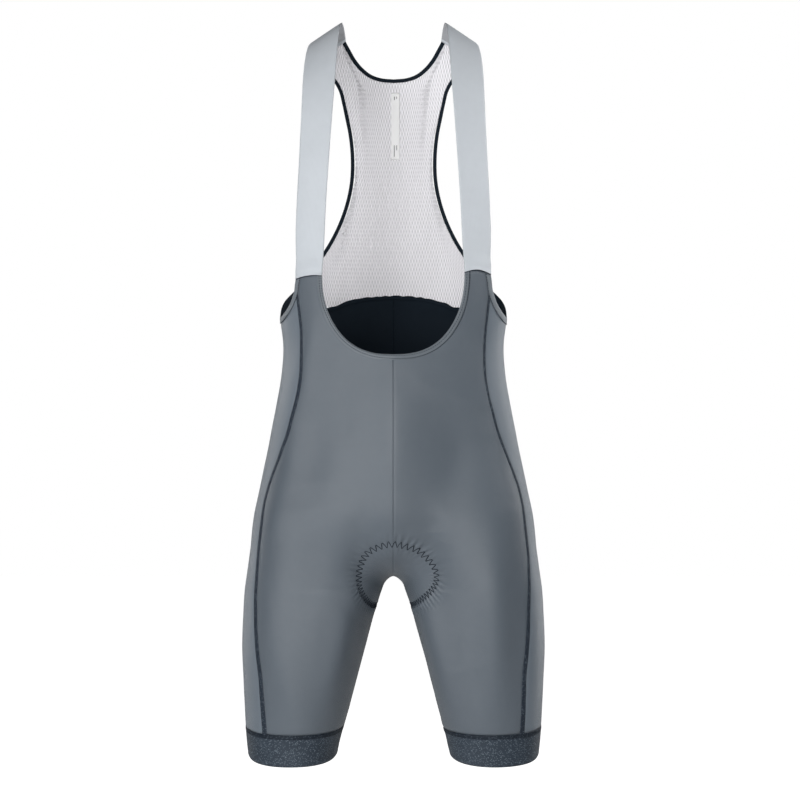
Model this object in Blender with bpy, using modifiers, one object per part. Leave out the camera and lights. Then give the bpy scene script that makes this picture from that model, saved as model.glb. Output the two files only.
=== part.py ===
"""Cycling bib shorts that keep the hollow form they have when worn.

The garment hangs from its two shoulder straps. The origin is midway between the tops
of the straps, +X is to the right of someone who looks at the front, -Y is the front
and +Z is up. Left and right in the names are that viewer's left and right.

Each cloth piece is an open grid of points on one smooth figure, a torso blended with
two thighs, and Solidify gives it its wall. Seam lines come from short tables of real
sizes. Neighbouring pieces share a seam line and stop just short of it, so that they
stay a fraction of a millimetre apart. All sizes are in millimetres, and they become
metres when a mesh is made.
"""

import bpy
import numpy as np

METRES = 0.001

# Cloth
PANEL_WALL = 1.4
MESH_WALL = 1.1
STRAP_WALL = 1.3
GRIPPER_WALL = 1.6
BINDING_WALL = 2.0
BINDING_WIDE = 5.5
BINDING_PROUD = 0.3
SEAM_EDGE = 0.28
TIP_GAP = 0.45
PAD_WALL = 5.0
PAD_CLEAR = 2.5

# Shoulders: the strap tops lie on a line that falls from the neck to the arm
STRAP_MIDDLE = 80.5
SHOULDER_SLOPE = 0.70
NECK_ROUNDING = 25.0
SLOPE_FULL = -60.0
SLOPE_GONE = -280.0

# Figure: exponents round the sections, and the blends round the joins
TORSO_ROUNDNESS = 2.3
THIGH_ROUNDNESS = 2.15
TORSO_CLOSES = -562.0
TORSO_BOTTOM = 80.0
THIGH_CLOSES = -610.0
THIGH_TOP = 120.0
HIP_BLEND = 26.0
CROTCH_BLEND = 26.0

# Heights of the level seams
CROTCH = -649.0
GRIPPER_TOP = -833.0
HEM = -867.5
HEM_DIP = 3.5
STRAP_FRONT = -295.0
STRAP_ARCH = 2.0
ARCH_REACH = 60.0
INSEAM_START = 10.0
STRAP_BACK_ALONG = 44.0

# Rows and columns of the grids
NECK_ROWS = 10
RISE_ROWS = 14
LEG_ROWS = 8
HORN_ROWS = 2
RISE_GRADING = 1.3
LEG_GRADING = 1.35
FRONT_COLUMNS = 11
ARM_COLUMNS = 10
MESH_STRAP_COLUMNS = 4
MESH_NECK_COLUMNS = 6
MESH_ROWS = 17
STRAP_ROWS = 26
STRAP_COLUMNS = 4
GRIPPER_COLUMNS = 32
GRIPPER_ROWS = 2
RELAX_ROUNDS = 12

# Sampling of the figure and of the seam lines
PROFILE_POINTS = 400
FINE_POINTS = 40
OUTLINE_POINTS = 120
SEAM_POINTS = 24
PAD_SEAM_POINTS = 60
RAY_REACH = 260.0
RAY_STEPS = 131
RAY_HALVINGS = 30
SETTLE_ROUNDS = 10
LONGEST_STEP = 6.0
TINY = 0.01
MIRROR_MERGE = 0.0001


class Table:
    """Rows of sizes with named columns, read smoothly along the first column."""

    def __init__(self, names, rows):
        self.names = names.split()
        self.rows = np.array(sorted(rows), float)

    def read(self, name, at):
        key = self.rows[:, 0]
        return smooth(key, self.rows[:, self.names.index(name)], at)


def smooth(key, values, at):
    """The smooth curve through the values, level beyond both ends."""
    slope = np.gradient(values, key)
    at = np.clip(at, key[0], key[-1])
    i = np.clip(np.searchsorted(key, at) - 1, 0, len(key) - 2)
    step = key[i + 1] - key[i]
    t = (at - key[i]) / step
    ends = values[i] * (1 + 2 * t) * (1 - t) ** 2 + values[i + 1] * t * t * (3 - 2 * t)
    return ends + step * t * (1 - t) * ((1 - t) * slope[i] - t * slope[i + 1])


HALF_WIDTHS = Table("height half_width", [
    (20, 155),
    (-60, 155),
    (-150, 150),
    (-230, 142),
    (-300, 138),
    (-345, 135.5),
    (-375, 132),
    (-410, 134),
    (-446, 140),
    (-482, 147),
    (-518, 153),
    (-562, 156),
    (-610, 158),
    (-660, 156),
])

# Depths of the torso on its centre line, against the height below the shoulder line
FRONT_PROFILE = [
    (0, 0),
    (-4, 19),
    (-15, 37),
    (-40, 58),
    (-80, 76),
    (-130, 88),
    (-200, 95),
    (-315, 97),
    (-374, 96),
    (-446, 99),
    (-500, 102),
    (-554, 103),
    (-610, 100),
    (-680, 95),
]
BACK_PROFILE = [
    (0, 0),
    (-4, 19),
    (-15, 37),
    (-40, 57),
    (-80, 74),
    (-130, 87),
    (-200, 94),
    (-315, 92),
    (-374, 91),
    (-446, 98),
    (-500, 108),
    (-554, 118),
    (-610, 120),
    (-680, 112),
]

THIGH = Table("height centre half_width front back", [
    (-480, 76, 76, 92, 104),
    (-560, 80, 80, 95, 112),
    (-610, 86, 84, 96, 110),
    (-645, 92, 83, 95, 103),
    (-663, 94.8, 82.8, 94, 99),
    (-699, 102, 78, 91, 92),
    (-735, 107.4, 73.8, 87, 87),
    (-771, 111.5, 68.3, 82, 81),
    (-807, 115.5, 62.7, 76, 74),
    (-843, 119.4, 57, 69, 67),
    (-875, 121, 52.2, 64, 62),
])

# Seam lines on the left half. On the front and the back they are given by the
# distance from the middle and the height, round the side by angle and height,
# where 0 degrees is the front, 90 the side and 180 the back.
NECKLINE = [
    (-81.6, -310),
    (-80, -321),
    (-76.5, -334),
    (-68, -352),
    (-55, -368.5),
    (-38.5, -380),
    (-20, -386),
    (0, -387.5),
]
SIDE_SEAM = Table("height distance", [
    (-318.7, -113.7),
    (-332, -109),
    (-354, -105.8),
    (-384, -103.6),
    (-407, -104.4),
    (-432, -109),
    (-457, -115.6),
    (-482, -123.3),
    (-500, -130.5),
    (-520, -138.6),
    (-540, -145.4),
    (-561, -150.9),
    (-590, -154.6),
    (-618, -158.1),
    (-647, -159.8),
    (-690, -160.8),
    (-734, -158.3),
    (-763, -155.4),
    (-793, -153.3),
    (-833, -150.5),
])
ARMHOLE = [
    (63.2, -307),
    (64.5, -316),
    (67.5, -324.5),
    (73, -334),
    (82, -341),
    (91, -340),
    (98, -332.5),
    (105, -321),
    (112, -309),
    (120.6, -291),
    (131.5, -264.5),
    (139, -242),
    (147, -208),
    (150, -170),
    (150, -137),
    (145, -92),
    (127, -46),
    (120, -42.5),
    (113.4, -37.5),
]
BACK_NECK = [
    (-52, -11),
    (-46, -20.5),
    (-40, -28),
    (-34, -33),
    (-24, -39.5),
    (-12, -42.4),
    (0, -43.2),
]
WAIST_SEAM = [
    (-97, -312),
    (-87, -323),
    (-70, -322.5),
    (-40, -314.5),
    (0, -311),
]

# Heights of the grid rows along the side seam, between the rows that have corners
ROW_HEIGHTS = Table("row height", [
    (HORN_ROWS, -318.7),
    (NECK_ROWS, -458),
    (NECK_ROWS + RISE_ROWS, -652),
    (NECK_ROWS + RISE_ROWS + LEG_ROWS, GRIPPER_TOP),
])

STRAP_EDGES = Table("along inner outer", [
    (-335, -82.1, -113.6),
    (-270, -79.2, -111.4),
    (-175, -72.8, -106.5),
    (-105, -68.1, -103.6),
    (-50, -64.8, -100.5),
    (0, -61.7, -99.2),
    (45, -57.5, -97),
])

PAD_EDGE = Table("along half_width", [
    (-120, 20),
    (-112, 34),
    (-90, 41),
    (-50, 44),
    (0, 42),
    (60, 50),
    (120, 68),
    (170, 72),
    (205, 58),
    (222, 36),
])

PAD_FRONT_TOP = -560.0
PAD_BACK_TOP = -480.0
PAD_ROWS = 18
PAD_COLUMNS = 5

LABEL_LEFT = -3.0
LABEL_RIGHT = 7.2
LABEL_TOP = -60.0
LABEL_BOTTOM = -142.0
LABEL_COLUMNS = 2
LABEL_ROWS = 6
LABEL_WALL = 0.6
LABEL_CLEAR = 0.6

# Axis of the left half, from which its sections are seen round
AXIS = Table("height distance", [
    (-280, -40),
    (-380, -48),
    (-480, -62),
    (-560, -80),
    (-610, -88),
    (-645, -92),
    (-699, -102),
    (-771, -111.5),
    (-843, -119.4),
    (-875, -121),
])
CENTRE_CLEAR = 0.3

# Where the armhole meets the waist seam, by angle and height
JUNCTION = (120.6, -291)

# Points in the openings, which tell a tape which way is out
ARMPIT = (-160, 20, -180)
NECK_OPENING = (0, 0, 40)

# Points of the front and the back by distance and height, which lie in the cloth
BELLY = (-60, -450)
SPINE = (0, -200)


def dense_profile(rows):
    """Arc length, height and depth along one half of the side view."""
    rows = np.array(rows, float)
    line = spread(rows, PROFILE_POINTS)
    return lengths(line), line[:, 0], line[:, 1]


def lengths(points):
    """Distance along a chain of points, from its first point."""
    steps = np.linalg.norm(np.diff(points, axis=0), axis=1)
    return np.concatenate([[0], np.cumsum(steps)])


def spread(points, count, near_end=1.0, near_start=1.0):
    """The smooth curve through the points as count + 1 points.

    The spacing is even, or closer near one end where that end's power is above 1.
    """
    points = np.asarray(points, float)
    along = lengths(points)
    fine = np.linspace(0, along[-1], FINE_POINTS * len(points))
    line = np.stack([smooth(along, c, fine) for c in points.T], axis=-1)
    along = lengths(line)
    share = np.linspace(0, 1, count + 1) ** near_start
    share = 1 - (1 - share) ** near_end
    return np.stack([np.interp(share * along[-1], along, c) for c in line.T], axis=-1)


FRONT_LINE = dense_profile(FRONT_PROFILE)
BACK_LINE = dense_profile(BACK_PROFILE)


def torso_depth(level, line):
    """Depth of the torso's centre line at a height below the shoulder line."""
    return np.interp(-level, -line[1], line[2])


def shoulder_line(x):
    """Height of the top of the shoulder, against the distance from the middle."""
    return SHOULDER_SLOPE * (np.hypot(STRAP_MIDDLE, NECK_ROUNDING) - np.hypot(x, NECK_ROUNDING))


def slope_share(z):
    """How much of the shoulder's slope a height still has, from 1 down to 0."""
    t = np.clip((z - SLOPE_GONE) / (SLOPE_FULL - SLOPE_GONE), 0, 1)
    return t * t * (3 - 2 * t)


def torso(x, y, z):
    """Signed distance, roughly, to the torso, which is less than 0 inside."""
    level = z - shoulder_line(x) * slope_share(z)
    wide = HALF_WIDTHS.read("half_width", z)
    front = torso_depth(level, FRONT_LINE)
    back = torso_depth(level, BACK_LINE)
    deep = np.maximum(np.where(y < 0, front, back), 1)
    closing = np.maximum(TORSO_CLOSES - z, 0) / TORSO_BOTTOM
    n = TORSO_ROUNDNESS
    r = ((abs(x) / wide) ** n + (abs(y) / deep) ** n + closing**n) ** (1 / n)
    return (r - 1) * np.minimum(wide, deep)


def thigh(x, y, z):
    """Signed distance, roughly, to the thigh at x above 0."""
    across = abs(x - THIGH.read("centre", z)) / THIGH.read("half_width", z)
    deep = np.where(y < 0, THIGH.read("front", z), THIGH.read("back", z))
    closing = np.maximum(z - THIGH_CLOSES, 0) / THIGH_TOP
    n = THIGH_ROUNDNESS
    r = (across**n + (abs(y) / deep) ** n + closing**n) ** (1 / n)
    return (r - 1) * THIGH.read("half_width", z)


def blend(a, b, reach):
    """The lesser of two distances, rounded where they are within reach."""
    h = np.maximum(reach - abs(a - b), 0) / reach
    return np.minimum(a, b) - h * h * reach / 4


def figure(points):
    """Signed distance, roughly, from points to the outer face of the cloth."""
    x, y, z = np.moveaxis(points, -1, 0)
    thighs = blend(thigh(abs(x), y, z), thigh(-abs(x), y, z), CROTCH_BLEND)
    return blend(thighs, torso(x, y, z), HIP_BLEND)


def slope(points):
    """Gradient of the figure's distance."""
    steps = TINY * np.eye(3)
    sides = [(figure(points + s) - figure(points - s)) / (2 * TINY) for s in steps]
    return np.stack(sides, axis=-1)


def outward(points):
    """Unit normal of the figure at points."""
    g = slope(points)
    return g / np.linalg.norm(g, axis=-1, keepdims=True)


def settle_once(points):
    """Points moved one step straight towards the figure."""
    g = slope(points)
    step = np.clip(figure(points) / (g * g).sum(axis=-1), -LONGEST_STEP, LONGEST_STEP)
    return points - step[..., None] * g


def settle(points, offset=0.0):
    """Points moved straight onto the figure, or to an offset outside it."""
    for _ in range(SETTLE_ROUNDS):
        points = settle_once(points)
    return points + offset * outward(points) if offset else points


def cast(start, way):
    """Where rays that start inside the figure first leave it."""
    steps = np.linspace(0, RAY_REACH, RAY_STEPS)
    value = figure(start[..., None, :] + way[..., None, :] * steps[:, None])
    first = np.argmax(value > 0, axis=-1)
    low = steps[first - 1]
    high = steps[first]
    for _ in range(RAY_HALVINGS):
        middle = (low + high) / 2
        inside = figure(start + way * middle[..., None]) < 0
        low = np.where(inside, middle, low)
        high = np.where(inside, high, middle)
    return start + way * low[..., None]


def facing(rows, way_y):
    """Points of the front or the back at rows of distance and height."""
    rows = np.asarray(rows, float)
    start = np.stack([rows[:, 0], 0 * rows[:, 0], rows[:, 1]], axis=-1)
    way = np.zeros_like(start)
    way[:, 1] = way_y
    return cast(start, way)


def around(rows):
    """Points of the left side at rows of angle and height."""
    angle, height = np.array(rows, float).T
    turn = np.radians(angle)
    start = np.stack([0 * height, 0 * height, height], axis=-1)
    way = np.stack([-np.sin(turn), -np.cos(turn), 0 * turn], axis=-1)
    return cast(start, way)


def inset(line, width, towards):
    """A line on the figure moved sideways along it, to the side where towards lies."""
    along = np.gradient(line, axis=0)
    side = np.cross(outward(line), along)
    side = side / np.linalg.norm(side, axis=1, keepdims=True)
    sign = np.sign(((towards - line) * side).sum())
    return settle(line + sign * width * side)


def rise(way_y, top, count):
    """The centre seam from a height on the front or the back down to the crotch."""
    straight = np.linspace(top, TORSO_CLOSES, SEAM_POINTS // 2)
    line = facing(np.stack([0 * straight, straight], axis=-1), way_y)
    turn = np.radians(np.linspace(0, 90, SEAM_POINTS + 1)[1:])
    start = np.tile([0.0, 0.0, TORSO_CLOSES], (len(turn), 1))
    way = np.stack([0 * turn, way_y * np.cos(turn), -np.sin(turn)], axis=-1)
    return settle(spread(np.concatenate([line, cast(start, way)]), count, near_end=RISE_GRADING))


def inseam(count):
    """The seam down the inside of the left thigh, from the crotch to the gripper."""
    height = np.linspace(CROTCH - INSEAM_START, GRIPPER_TOP, SEAM_POINTS)
    centre = THIGH.read("centre", height)
    start = np.stack([-centre, 0 * height, height], axis=-1)
    line = cast(start, np.tile([1.0, 0.0, 0.0], (len(height), 1)))
    apex = cast(np.array([[0.0, 0.0, TORSO_CLOSES]]), np.array([[0.0, 0.0, -1.0]]))
    return settle(spread(np.concatenate([apex, line]), count, near_start=LEG_GRADING))


def relax(grid):
    """Even out the inner points of a grid on the figure and keep its edges."""
    for _ in range(RELAX_ROUNDS):
        middle = grid[1:-1, :-2] + grid[1:-1, 2:] + grid[:-2, 1:-1] + grid[2:, 1:-1]
        grid[1:-1, 1:-1] = settle_once(middle / 4)
        for row in grid[NECK_ROWS + 2:-1]:
            row[:] = divide(row, len(row) - 1)
    grid[1:-1, 1:-1] = settle(grid[1:-1, 1:-1])
    return grid


def pull(edge, inner, gap):
    """An edge of a grid moved square to itself, towards the next line of points."""
    steps = np.diff(edge, axis=0)
    steps = steps / np.linalg.norm(steps, axis=1, keepdims=True)
    before = np.concatenate([steps[:1], steps])
    after = np.concatenate([steps, steps[-1:]])
    along = before + after
    along = along / np.linalg.norm(along, axis=1, keepdims=True)
    mitre = 1 / np.sqrt((1 + (before * after).sum(axis=1, keepdims=True)) / 2)
    side = inner - edge
    side = side - (side * along).sum(axis=1, keepdims=True) * along
    return edge + gap * mitre * side / np.linalg.norm(side, axis=1, keepdims=True)


def shorten(grid, top=SEAM_EDGE, bottom=SEAM_EDGE, first=SEAM_EDGE, last=SEAM_EDGE):
    """Pull the edges of a grid back from its seam lines."""
    out = grid.copy()
    out[0] = pull(grid[0], grid[1], top)
    out[-1] = pull(grid[-1], grid[-2], bottom)
    left = pull(grid[:, 0], grid[:, 1], first)
    right = pull(grid[:, -1], grid[:, -2], last)
    out[:, 0] += left - grid[:, 0]
    out[:, -1] += right - grid[:, -1]
    return out


def cloth(name, grid, wall, look, closed=False, mirror=False, shift=-1.0):
    """An object from rows and columns of points on its outer face, with its wall."""
    rows, columns = grid.shape[:2]
    spans = columns if closed else columns - 1
    quads = []
    for r in range(rows - 1):
        for c in range(spans):
            d = (c + 1) % columns
            quads.append((r * columns + c, r * columns + d, (r + 1) * columns + d, (r + 1) * columns + c))
    points = grid.reshape(-1, 3)
    corner = np.array(quads)
    across = points[corner[:, 2]] - points[corner[:, 0]]
    other = points[corner[:, 3]] - points[corner[:, 1]]
    faces_out = (np.cross(across, other) * outward(points[corner].mean(axis=1))).sum() > 0
    if not faces_out:
        quads = [quad[::-1] for quad in quads]
    mesh = bpy.data.meshes.new(name)
    mesh.from_pydata((points * METRES).tolist(), [], quads)
    mesh.materials.append(look)
    mesh.shade_smooth()
    made = bpy.data.objects.new(name, mesh)
    GARMENT.objects.link(made)
    if mirror:
        half = made.modifiers.new("both halves", "MIRROR")
        half.merge_threshold = MIRROR_MERGE
    skin = made.modifiers.new("wall", "SOLIDIFY")
    skin.thickness = wall * METRES
    skin.offset = shift
    return made


def to_side(grid, side):
    """The grid of a left piece, or its mirror image for the right one."""
    out = grid.copy()
    if side == "right":
        out[..., 0] *= -1
    return out


def strap_grid():
    """The left strap from the front seam over the shoulder to the back seam."""
    front_length = np.interp(-STRAP_FRONT, -FRONT_LINE[1], FRONT_LINE[0])
    along = np.linspace(-front_length, STRAP_BACK_ALONG, STRAP_ROWS + 1)
    share = np.linspace(0, 1, STRAP_COLUMNS + 1)
    inner = STRAP_EDGES.read("inner", along)[:, None]
    outer = STRAP_EDGES.read("outer", along)[:, None]
    x = inner + (outer - inner) * share
    line_front = np.interp(-along, FRONT_LINE[0], FRONT_LINE[1])
    line_back = np.interp(along, BACK_LINE[0], BACK_LINE[1])
    level = np.where(along < 0, line_front, line_back)[:, None]
    deep_front = -np.interp(-along, FRONT_LINE[0], FRONT_LINE[2])
    deep_back = np.interp(along, BACK_LINE[0], BACK_LINE[2])
    deep = np.where(along < 0, deep_front, deep_back)[:, None]
    z = level + shoulder_line(x)
    for _ in range(SETTLE_ROUNDS):
        z = level + shoulder_line(x) * slope_share(z)
    near_seam = np.clip(1 - (front_length + along[:, None]) / ARCH_REACH, 0, 1)
    z = z + STRAP_ARCH * (1 - (2 * share - 1) ** 2) * near_seam
    n = TORSO_ROUNDNESS
    y = deep * (1 - (abs(x) / HALF_WIDTHS.read("half_width", z)) ** n) ** (1 / n)
    return np.stack([x, y, z], axis=-1)


def divide(chain, count):
    """A chain of points cut into even straight spans."""
    along = lengths(chain)
    even = np.linspace(0, along[-1], count + 1)
    return np.stack([np.interp(even, along, c) for c in chain.T], axis=-1)


def nearest(line, point):
    """Index of the point of a line that is nearest to a point."""
    return int(np.argmin(np.linalg.norm(line - point, axis=1)))


def side_seam(top):
    """The seam from the armhole down the front of the side to the gripper."""
    rows = np.arange(HORN_ROWS + 1, NECK_ROWS + RISE_ROWS + LEG_ROWS + 1)
    height = ROW_HEIGHTS.read("height", rows)
    line = facing(np.stack([SIDE_SEAM.read("distance", height), height], axis=-1), -1)
    return np.concatenate([[top], line])


def front_grid(top, neck, horn, seam, legs):
    """The left front panel, between the centre line and the side seam."""
    centre = rise(-1, neck[-1, 2], RISE_ROWS)
    inner = np.concatenate([neck, centre[1:], legs[1:]])
    outer = np.concatenate([horn, seam[1:]])
    return fill(divide(top, FRONT_COLUMNS), inner, outer, -180)


def fill(top, first, last, inward):
    """A panel's grid between its two long seams, on the figure."""
    share = np.linspace(0, 1, len(top))
    turn_first = angles(first)
    turn_last = angles(last)
    on_inseam = turn_last if inward > 0 else turn_first
    on_inseam[-LEG_ROWS - 1:] = inward
    angle = turn_first[:, None] * (1 - share) + turn_last[:, None] * share
    height = first[:, 2:] * (1 - share) + last[:, 2:] * share
    fade = np.linspace(1, 0, len(first))[:, None] ** 3
    height = height + (top[:, 2] - height[0]) * fade
    grid = ring(height, angle)
    grid[..., 0] = np.minimum(grid[..., 0], -CENTRE_CLEAR)
    grid[0] = top
    grid[:, 0] = first
    grid[:, -1] = last
    for row in grid[1:]:
        row[:] = divide(row, len(row) - 1)
    grid[-1, 1:-1] = ring(GRIPPER_TOP, angles(grid[-1, 1:-1]))
    return relax(grid)


def angles(points):
    """Angle round the left thigh: 0 outward, 90 at the back, 180 or -180 inward."""
    x = points[..., 0] - axis_at(points[..., 2])
    return np.degrees(np.arctan2(points[..., 1], -x))


def axis_at(height):
    """Distance of the left half's axis from the middle, down torso and thigh."""
    return AXIS.read("distance", height)


def ring(height, angle):
    """Points of the left half at heights and angles round its axis."""
    turn = np.radians(angle)
    height = height + 0 * turn
    start = np.stack([axis_at(height), 0 * turn, height], axis=-1)
    way = np.stack([-np.cos(turn), np.sin(turn), 0 * turn], axis=-1)
    return cast(start, way)


def side_back_grid(top, seam, legs):
    """The left side and back panel, from the side seam round to the centre back."""
    centre = rise(1, top[-1, 2], NECK_ROWS + RISE_ROWS - HORN_ROWS)
    return fill(top, seam, np.concatenate([centre, legs[1:]]), 180)


def patch(bottom, top, outer, centre):
    """A grid with four given edges, filled by a Coons patch seen from the back."""
    u = np.linspace(0, 1, len(bottom))[None, :, None]
    v = np.linspace(0, 1, len(outer))[:, None, None]
    across = outer[:, None] * (1 - u) + centre[:, None] * u
    down = top[None] * (1 - v) + bottom[None] * v
    corners = (top[0] * (1 - u) + top[-1] * u) * (1 - v) + (bottom[0] * (1 - u) + bottom[-1] * u) * v
    return across + down - corners


def mesh_grid(waist, armhole, strap_end, neck):
    """The left half of the back panel, from its armhole to the middle."""
    top = np.concatenate([divide(strap_end, MESH_STRAP_COLUMNS), neck[1:]])
    share = np.linspace(0, 1, MESH_ROWS + 1)[:, None]
    centre = top[-1] * (1 - share) + waist[-1] * share
    grid = patch(waist, top, armhole, centre)
    inner = grid[1:-1, 1:]
    flat = np.stack([inner[..., 0], inner[..., 2]], axis=-1).reshape(-1, 2)
    grid[1:-1, 1:] = facing(flat, 1).reshape(inner.shape)
    return grid


def tape(edge, away):
    """A binding from a cloth edge out to the opening, a little proud of the cloth."""
    outline = inset(edge, BINDING_WIDE, away)
    rows = np.stack([outline, (outline + edge) / 2, edge])
    return settle(rows, BINDING_PROUD)


def gripper_grid():
    """The elastic band round the left thigh."""
    angle = np.arange(GRIPPER_COLUMNS) * 360 / GRIPPER_COLUMNS
    top = ring(GRIPPER_TOP - SEAM_EDGE, angle)
    hem = HEM - HEM_DIP * -np.sin(np.radians(angle))
    bottom = ring(hem, angle)
    share = np.linspace(0, 1, GRIPPER_ROWS + 1)[:, None, None]
    return settle(top * (1 - share) + bottom * share)


def pad_grid():
    """The left half of the seat pad, on the inner face of the panels."""
    front = rise(-1, PAD_FRONT_TOP, PAD_SEAM_POINTS)
    back = rise(1, PAD_BACK_TOP, PAD_SEAM_POINTS)
    line = np.concatenate([front, back[::-1][1:]])
    along = lengths(line) - lengths(front)[-1]
    rows = PAD_EDGE.rows[:, 0]
    stations = np.linspace(rows[0], rows[-1], PAD_ROWS + 1)
    centre = np.stack([np.interp(stations, along, c) for c in line.T], axis=-1)
    step = (PAD_EDGE.read("half_width", stations) / PAD_COLUMNS)[:, None]
    lines = [settle(centre)]
    ahead = np.gradient(lines[0], axis=0)
    for _ in range(PAD_COLUMNS):
        side = np.cross(ahead, outward(lines[-1]))
        side = side * np.sign(-side[:, :1])
        side = side / np.linalg.norm(side, axis=1, keepdims=True)
        lines.append(settle(lines[-1] + side * step))
    grid = np.stack(lines, axis=1)
    return settle(grid, -PANEL_WALL - PAD_CLEAR)


def label_grid():
    """The label that hangs on the inner face of the back panel."""
    x = np.linspace(LABEL_LEFT, LABEL_RIGHT, LABEL_COLUMNS + 1)
    z = np.linspace(LABEL_TOP, LABEL_BOTTOM, LABEL_ROWS + 1)
    rows = np.stack(np.meshgrid(x, z), axis=-1)
    points = facing(rows.reshape(-1, 2), 1).reshape(len(z), len(x), 3)
    return settle(points, -MESH_WALL - LABEL_CLEAR)


def material(name, color, roughness):
    """A plain cloth material."""
    made = bpy.data.materials.new(name)
    made.use_nodes = True
    shader = made.node_tree.nodes["Principled BSDF"]
    shader.inputs["Base Color"].default_value = (*color, 1)
    shader.inputs["Roughness"].default_value = roughness
    shader.inputs["Metallic"].default_value = 0
    return made


def make_garment():
    """Make each piece of the shorts."""
    grey = material("main knit", (0.16, 0.19, 0.22), 0.75)
    side_grey = material("side knit", (0.24, 0.28, 0.33), 0.72)
    pale = material("strap elastic", (0.50, 0.56, 0.62), 0.7)
    net = material("back mesh", (0.66, 0.65, 0.68), 0.85)
    dark = material("dark binding", (0.015, 0.018, 0.02), 0.7)
    band = material("gripper elastic", (0.04, 0.05, 0.065), 0.7)
    foam = material("seat pad", (0.05, 0.06, 0.07), 0.9)
    paper = material("label", (0.86, 0.86, 0.86), 0.6)

    strap = strap_grid()
    belly = facing([BELLY], -1)[0]
    spine = facing([SPINE], 1)[0]

    # Outlines of the openings, from strap corner to strap corner
    neck_points = np.concatenate([strap[0, :1], facing(NECKLINE, -1)])
    neckline = settle(spread(neck_points, OUTLINE_POINTS))
    armhole_points = np.concatenate([strap[0, -1:], around(ARMHOLE), strap[-1, -1:]])
    armhole = settle(spread(armhole_points, OUTLINE_POINTS))
    back_neck_points = np.concatenate([strap[-1, :1], facing(BACK_NECK, 1)])
    back_neck = settle(spread(back_neck_points, OUTLINE_POINTS))
    join = nearest(armhole, around([JUNCTION])[0])

    # The cloth edges under the tapes, as the grid points that the tapes share
    neck_edge = spread(inset(neckline, BINDING_WIDE, belly), NECK_ROWS)
    neck_edge[-1, 0] = 0
    back_neck_edge = spread(inset(back_neck, BINDING_WIDE, spine), MESH_NECK_COLUMNS)
    back_neck_edge[-1, 0] = 0
    arm_low = inset(armhole[:join + 1], BINDING_WIDE, belly)
    arm_high = spread(inset(armhole[join:], BINDING_WIDE, spine), MESH_ROWS)
    seam_start = facing([(SIDE_SEAM.rows[-1, 1], SIDE_SEAM.rows[-1, 0])], -1)[0]
    cut = nearest(arm_low, seam_start)
    horn = spread(arm_low[:cut + 1], HORN_ROWS)
    under_arm = spread(np.concatenate([arm_low[cut:-1], arm_high[:1]]), ARM_COLUMNS)

    # Front panel, then side and back panel, on shared seams
    seam = side_seam(horn[-1])
    legs = inseam(LEG_ROWS)
    strap_front = np.concatenate([neck_edge[:1], strap[0, 1:-1], horn[:1]])
    front = front_grid(strap_front, neck_edge, horn, seam, legs)
    waist = np.concatenate([arm_high[:1], facing(WAIST_SEAM, 1)])
    waist = settle(spread(waist, MESH_STRAP_COLUMNS + MESH_NECK_COLUMNS))
    side_back = side_back_grid(np.concatenate([under_arm, waist[1:]]), seam, legs)

    # Back panel, on the waist seam, between the armholes and under the straps
    strap_back = np.concatenate([arm_high[-1:], strap[-1, 1:-1][::-1], back_neck_edge[:1]])
    net_half = mesh_grid(waist, arm_high[::-1], strap_back, back_neck_edge)

    # Tapes, from the same edges out to the openings
    ends = {"top": 0, "bottom": TIP_GAP, "first": TIP_GAP, "last": TIP_GAP}
    half_ends = {**ends, "last": 0}
    low = tape(np.concatenate([horn, under_arm[1:]]), ARMPIT)
    high = tape(arm_high, ARMPIT)
    neck = tape(neck_edge, NECK_OPENING)
    back = tape(back_neck_edge, NECK_OPENING)
    for line in (neck, back):
        line[:, -1, 0] = 0

    for side in ("left", "right"):
        cloth(f"front_{side}", to_side(shorten(front), side), PANEL_WALL, grey)
        cloth(f"side_back_{side}", to_side(shorten(side_back), side), PANEL_WALL, side_grey)
        cloth(f"strap_{side}", to_side(shorten(strap, first=0, last=0), side), STRAP_WALL, pale)
        cloth(f"gripper_{side}", to_side(gripper_grid(), side), GRIPPER_WALL, band, closed=True)
        cloth(f"armhole_binding_{side}", to_side(shorten(low, **ends), side), BINDING_WALL, grey)
        cloth(f"back_armhole_binding_{side}", to_side(shorten(high, **ends), side), BINDING_WALL, dark)
    cloth("front_neck_binding", shorten(neck, **half_ends), BINDING_WALL, grey, mirror=True)
    cloth("back_neck_binding", shorten(back, **half_ends), BINDING_WALL, dark, mirror=True)
    cloth("back_panel", shorten(net_half, last=0), MESH_WALL, net, mirror=True)
    cloth("seat_pad", pad_grid(), PAD_WALL, foam, mirror=True)
    cloth("label", label_grid(), LABEL_WALL, paper)


for old in list(bpy.data.objects):
    bpy.data.objects.remove(old, do_unlink=True)
GARMENT = bpy.data.collections.new("cycling bib shorts")
bpy.context.scene.collection.children.link(GARMENT)
make_garment()
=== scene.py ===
"""Bib shorts: fine cloth, seams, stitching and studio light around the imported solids.

The cloth follows the same smooth figure and seam tables as the solids, on finer grids,
with soft creases, puckers and rolled edges worked out as whole arrays. Sizes are in
millimetres, and they become metres when a mesh is made. The origin is midway between
the tops of the straps, -Y is the front and +Z is up.
"""

import math

import bpy
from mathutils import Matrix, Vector
import numpy as np


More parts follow.
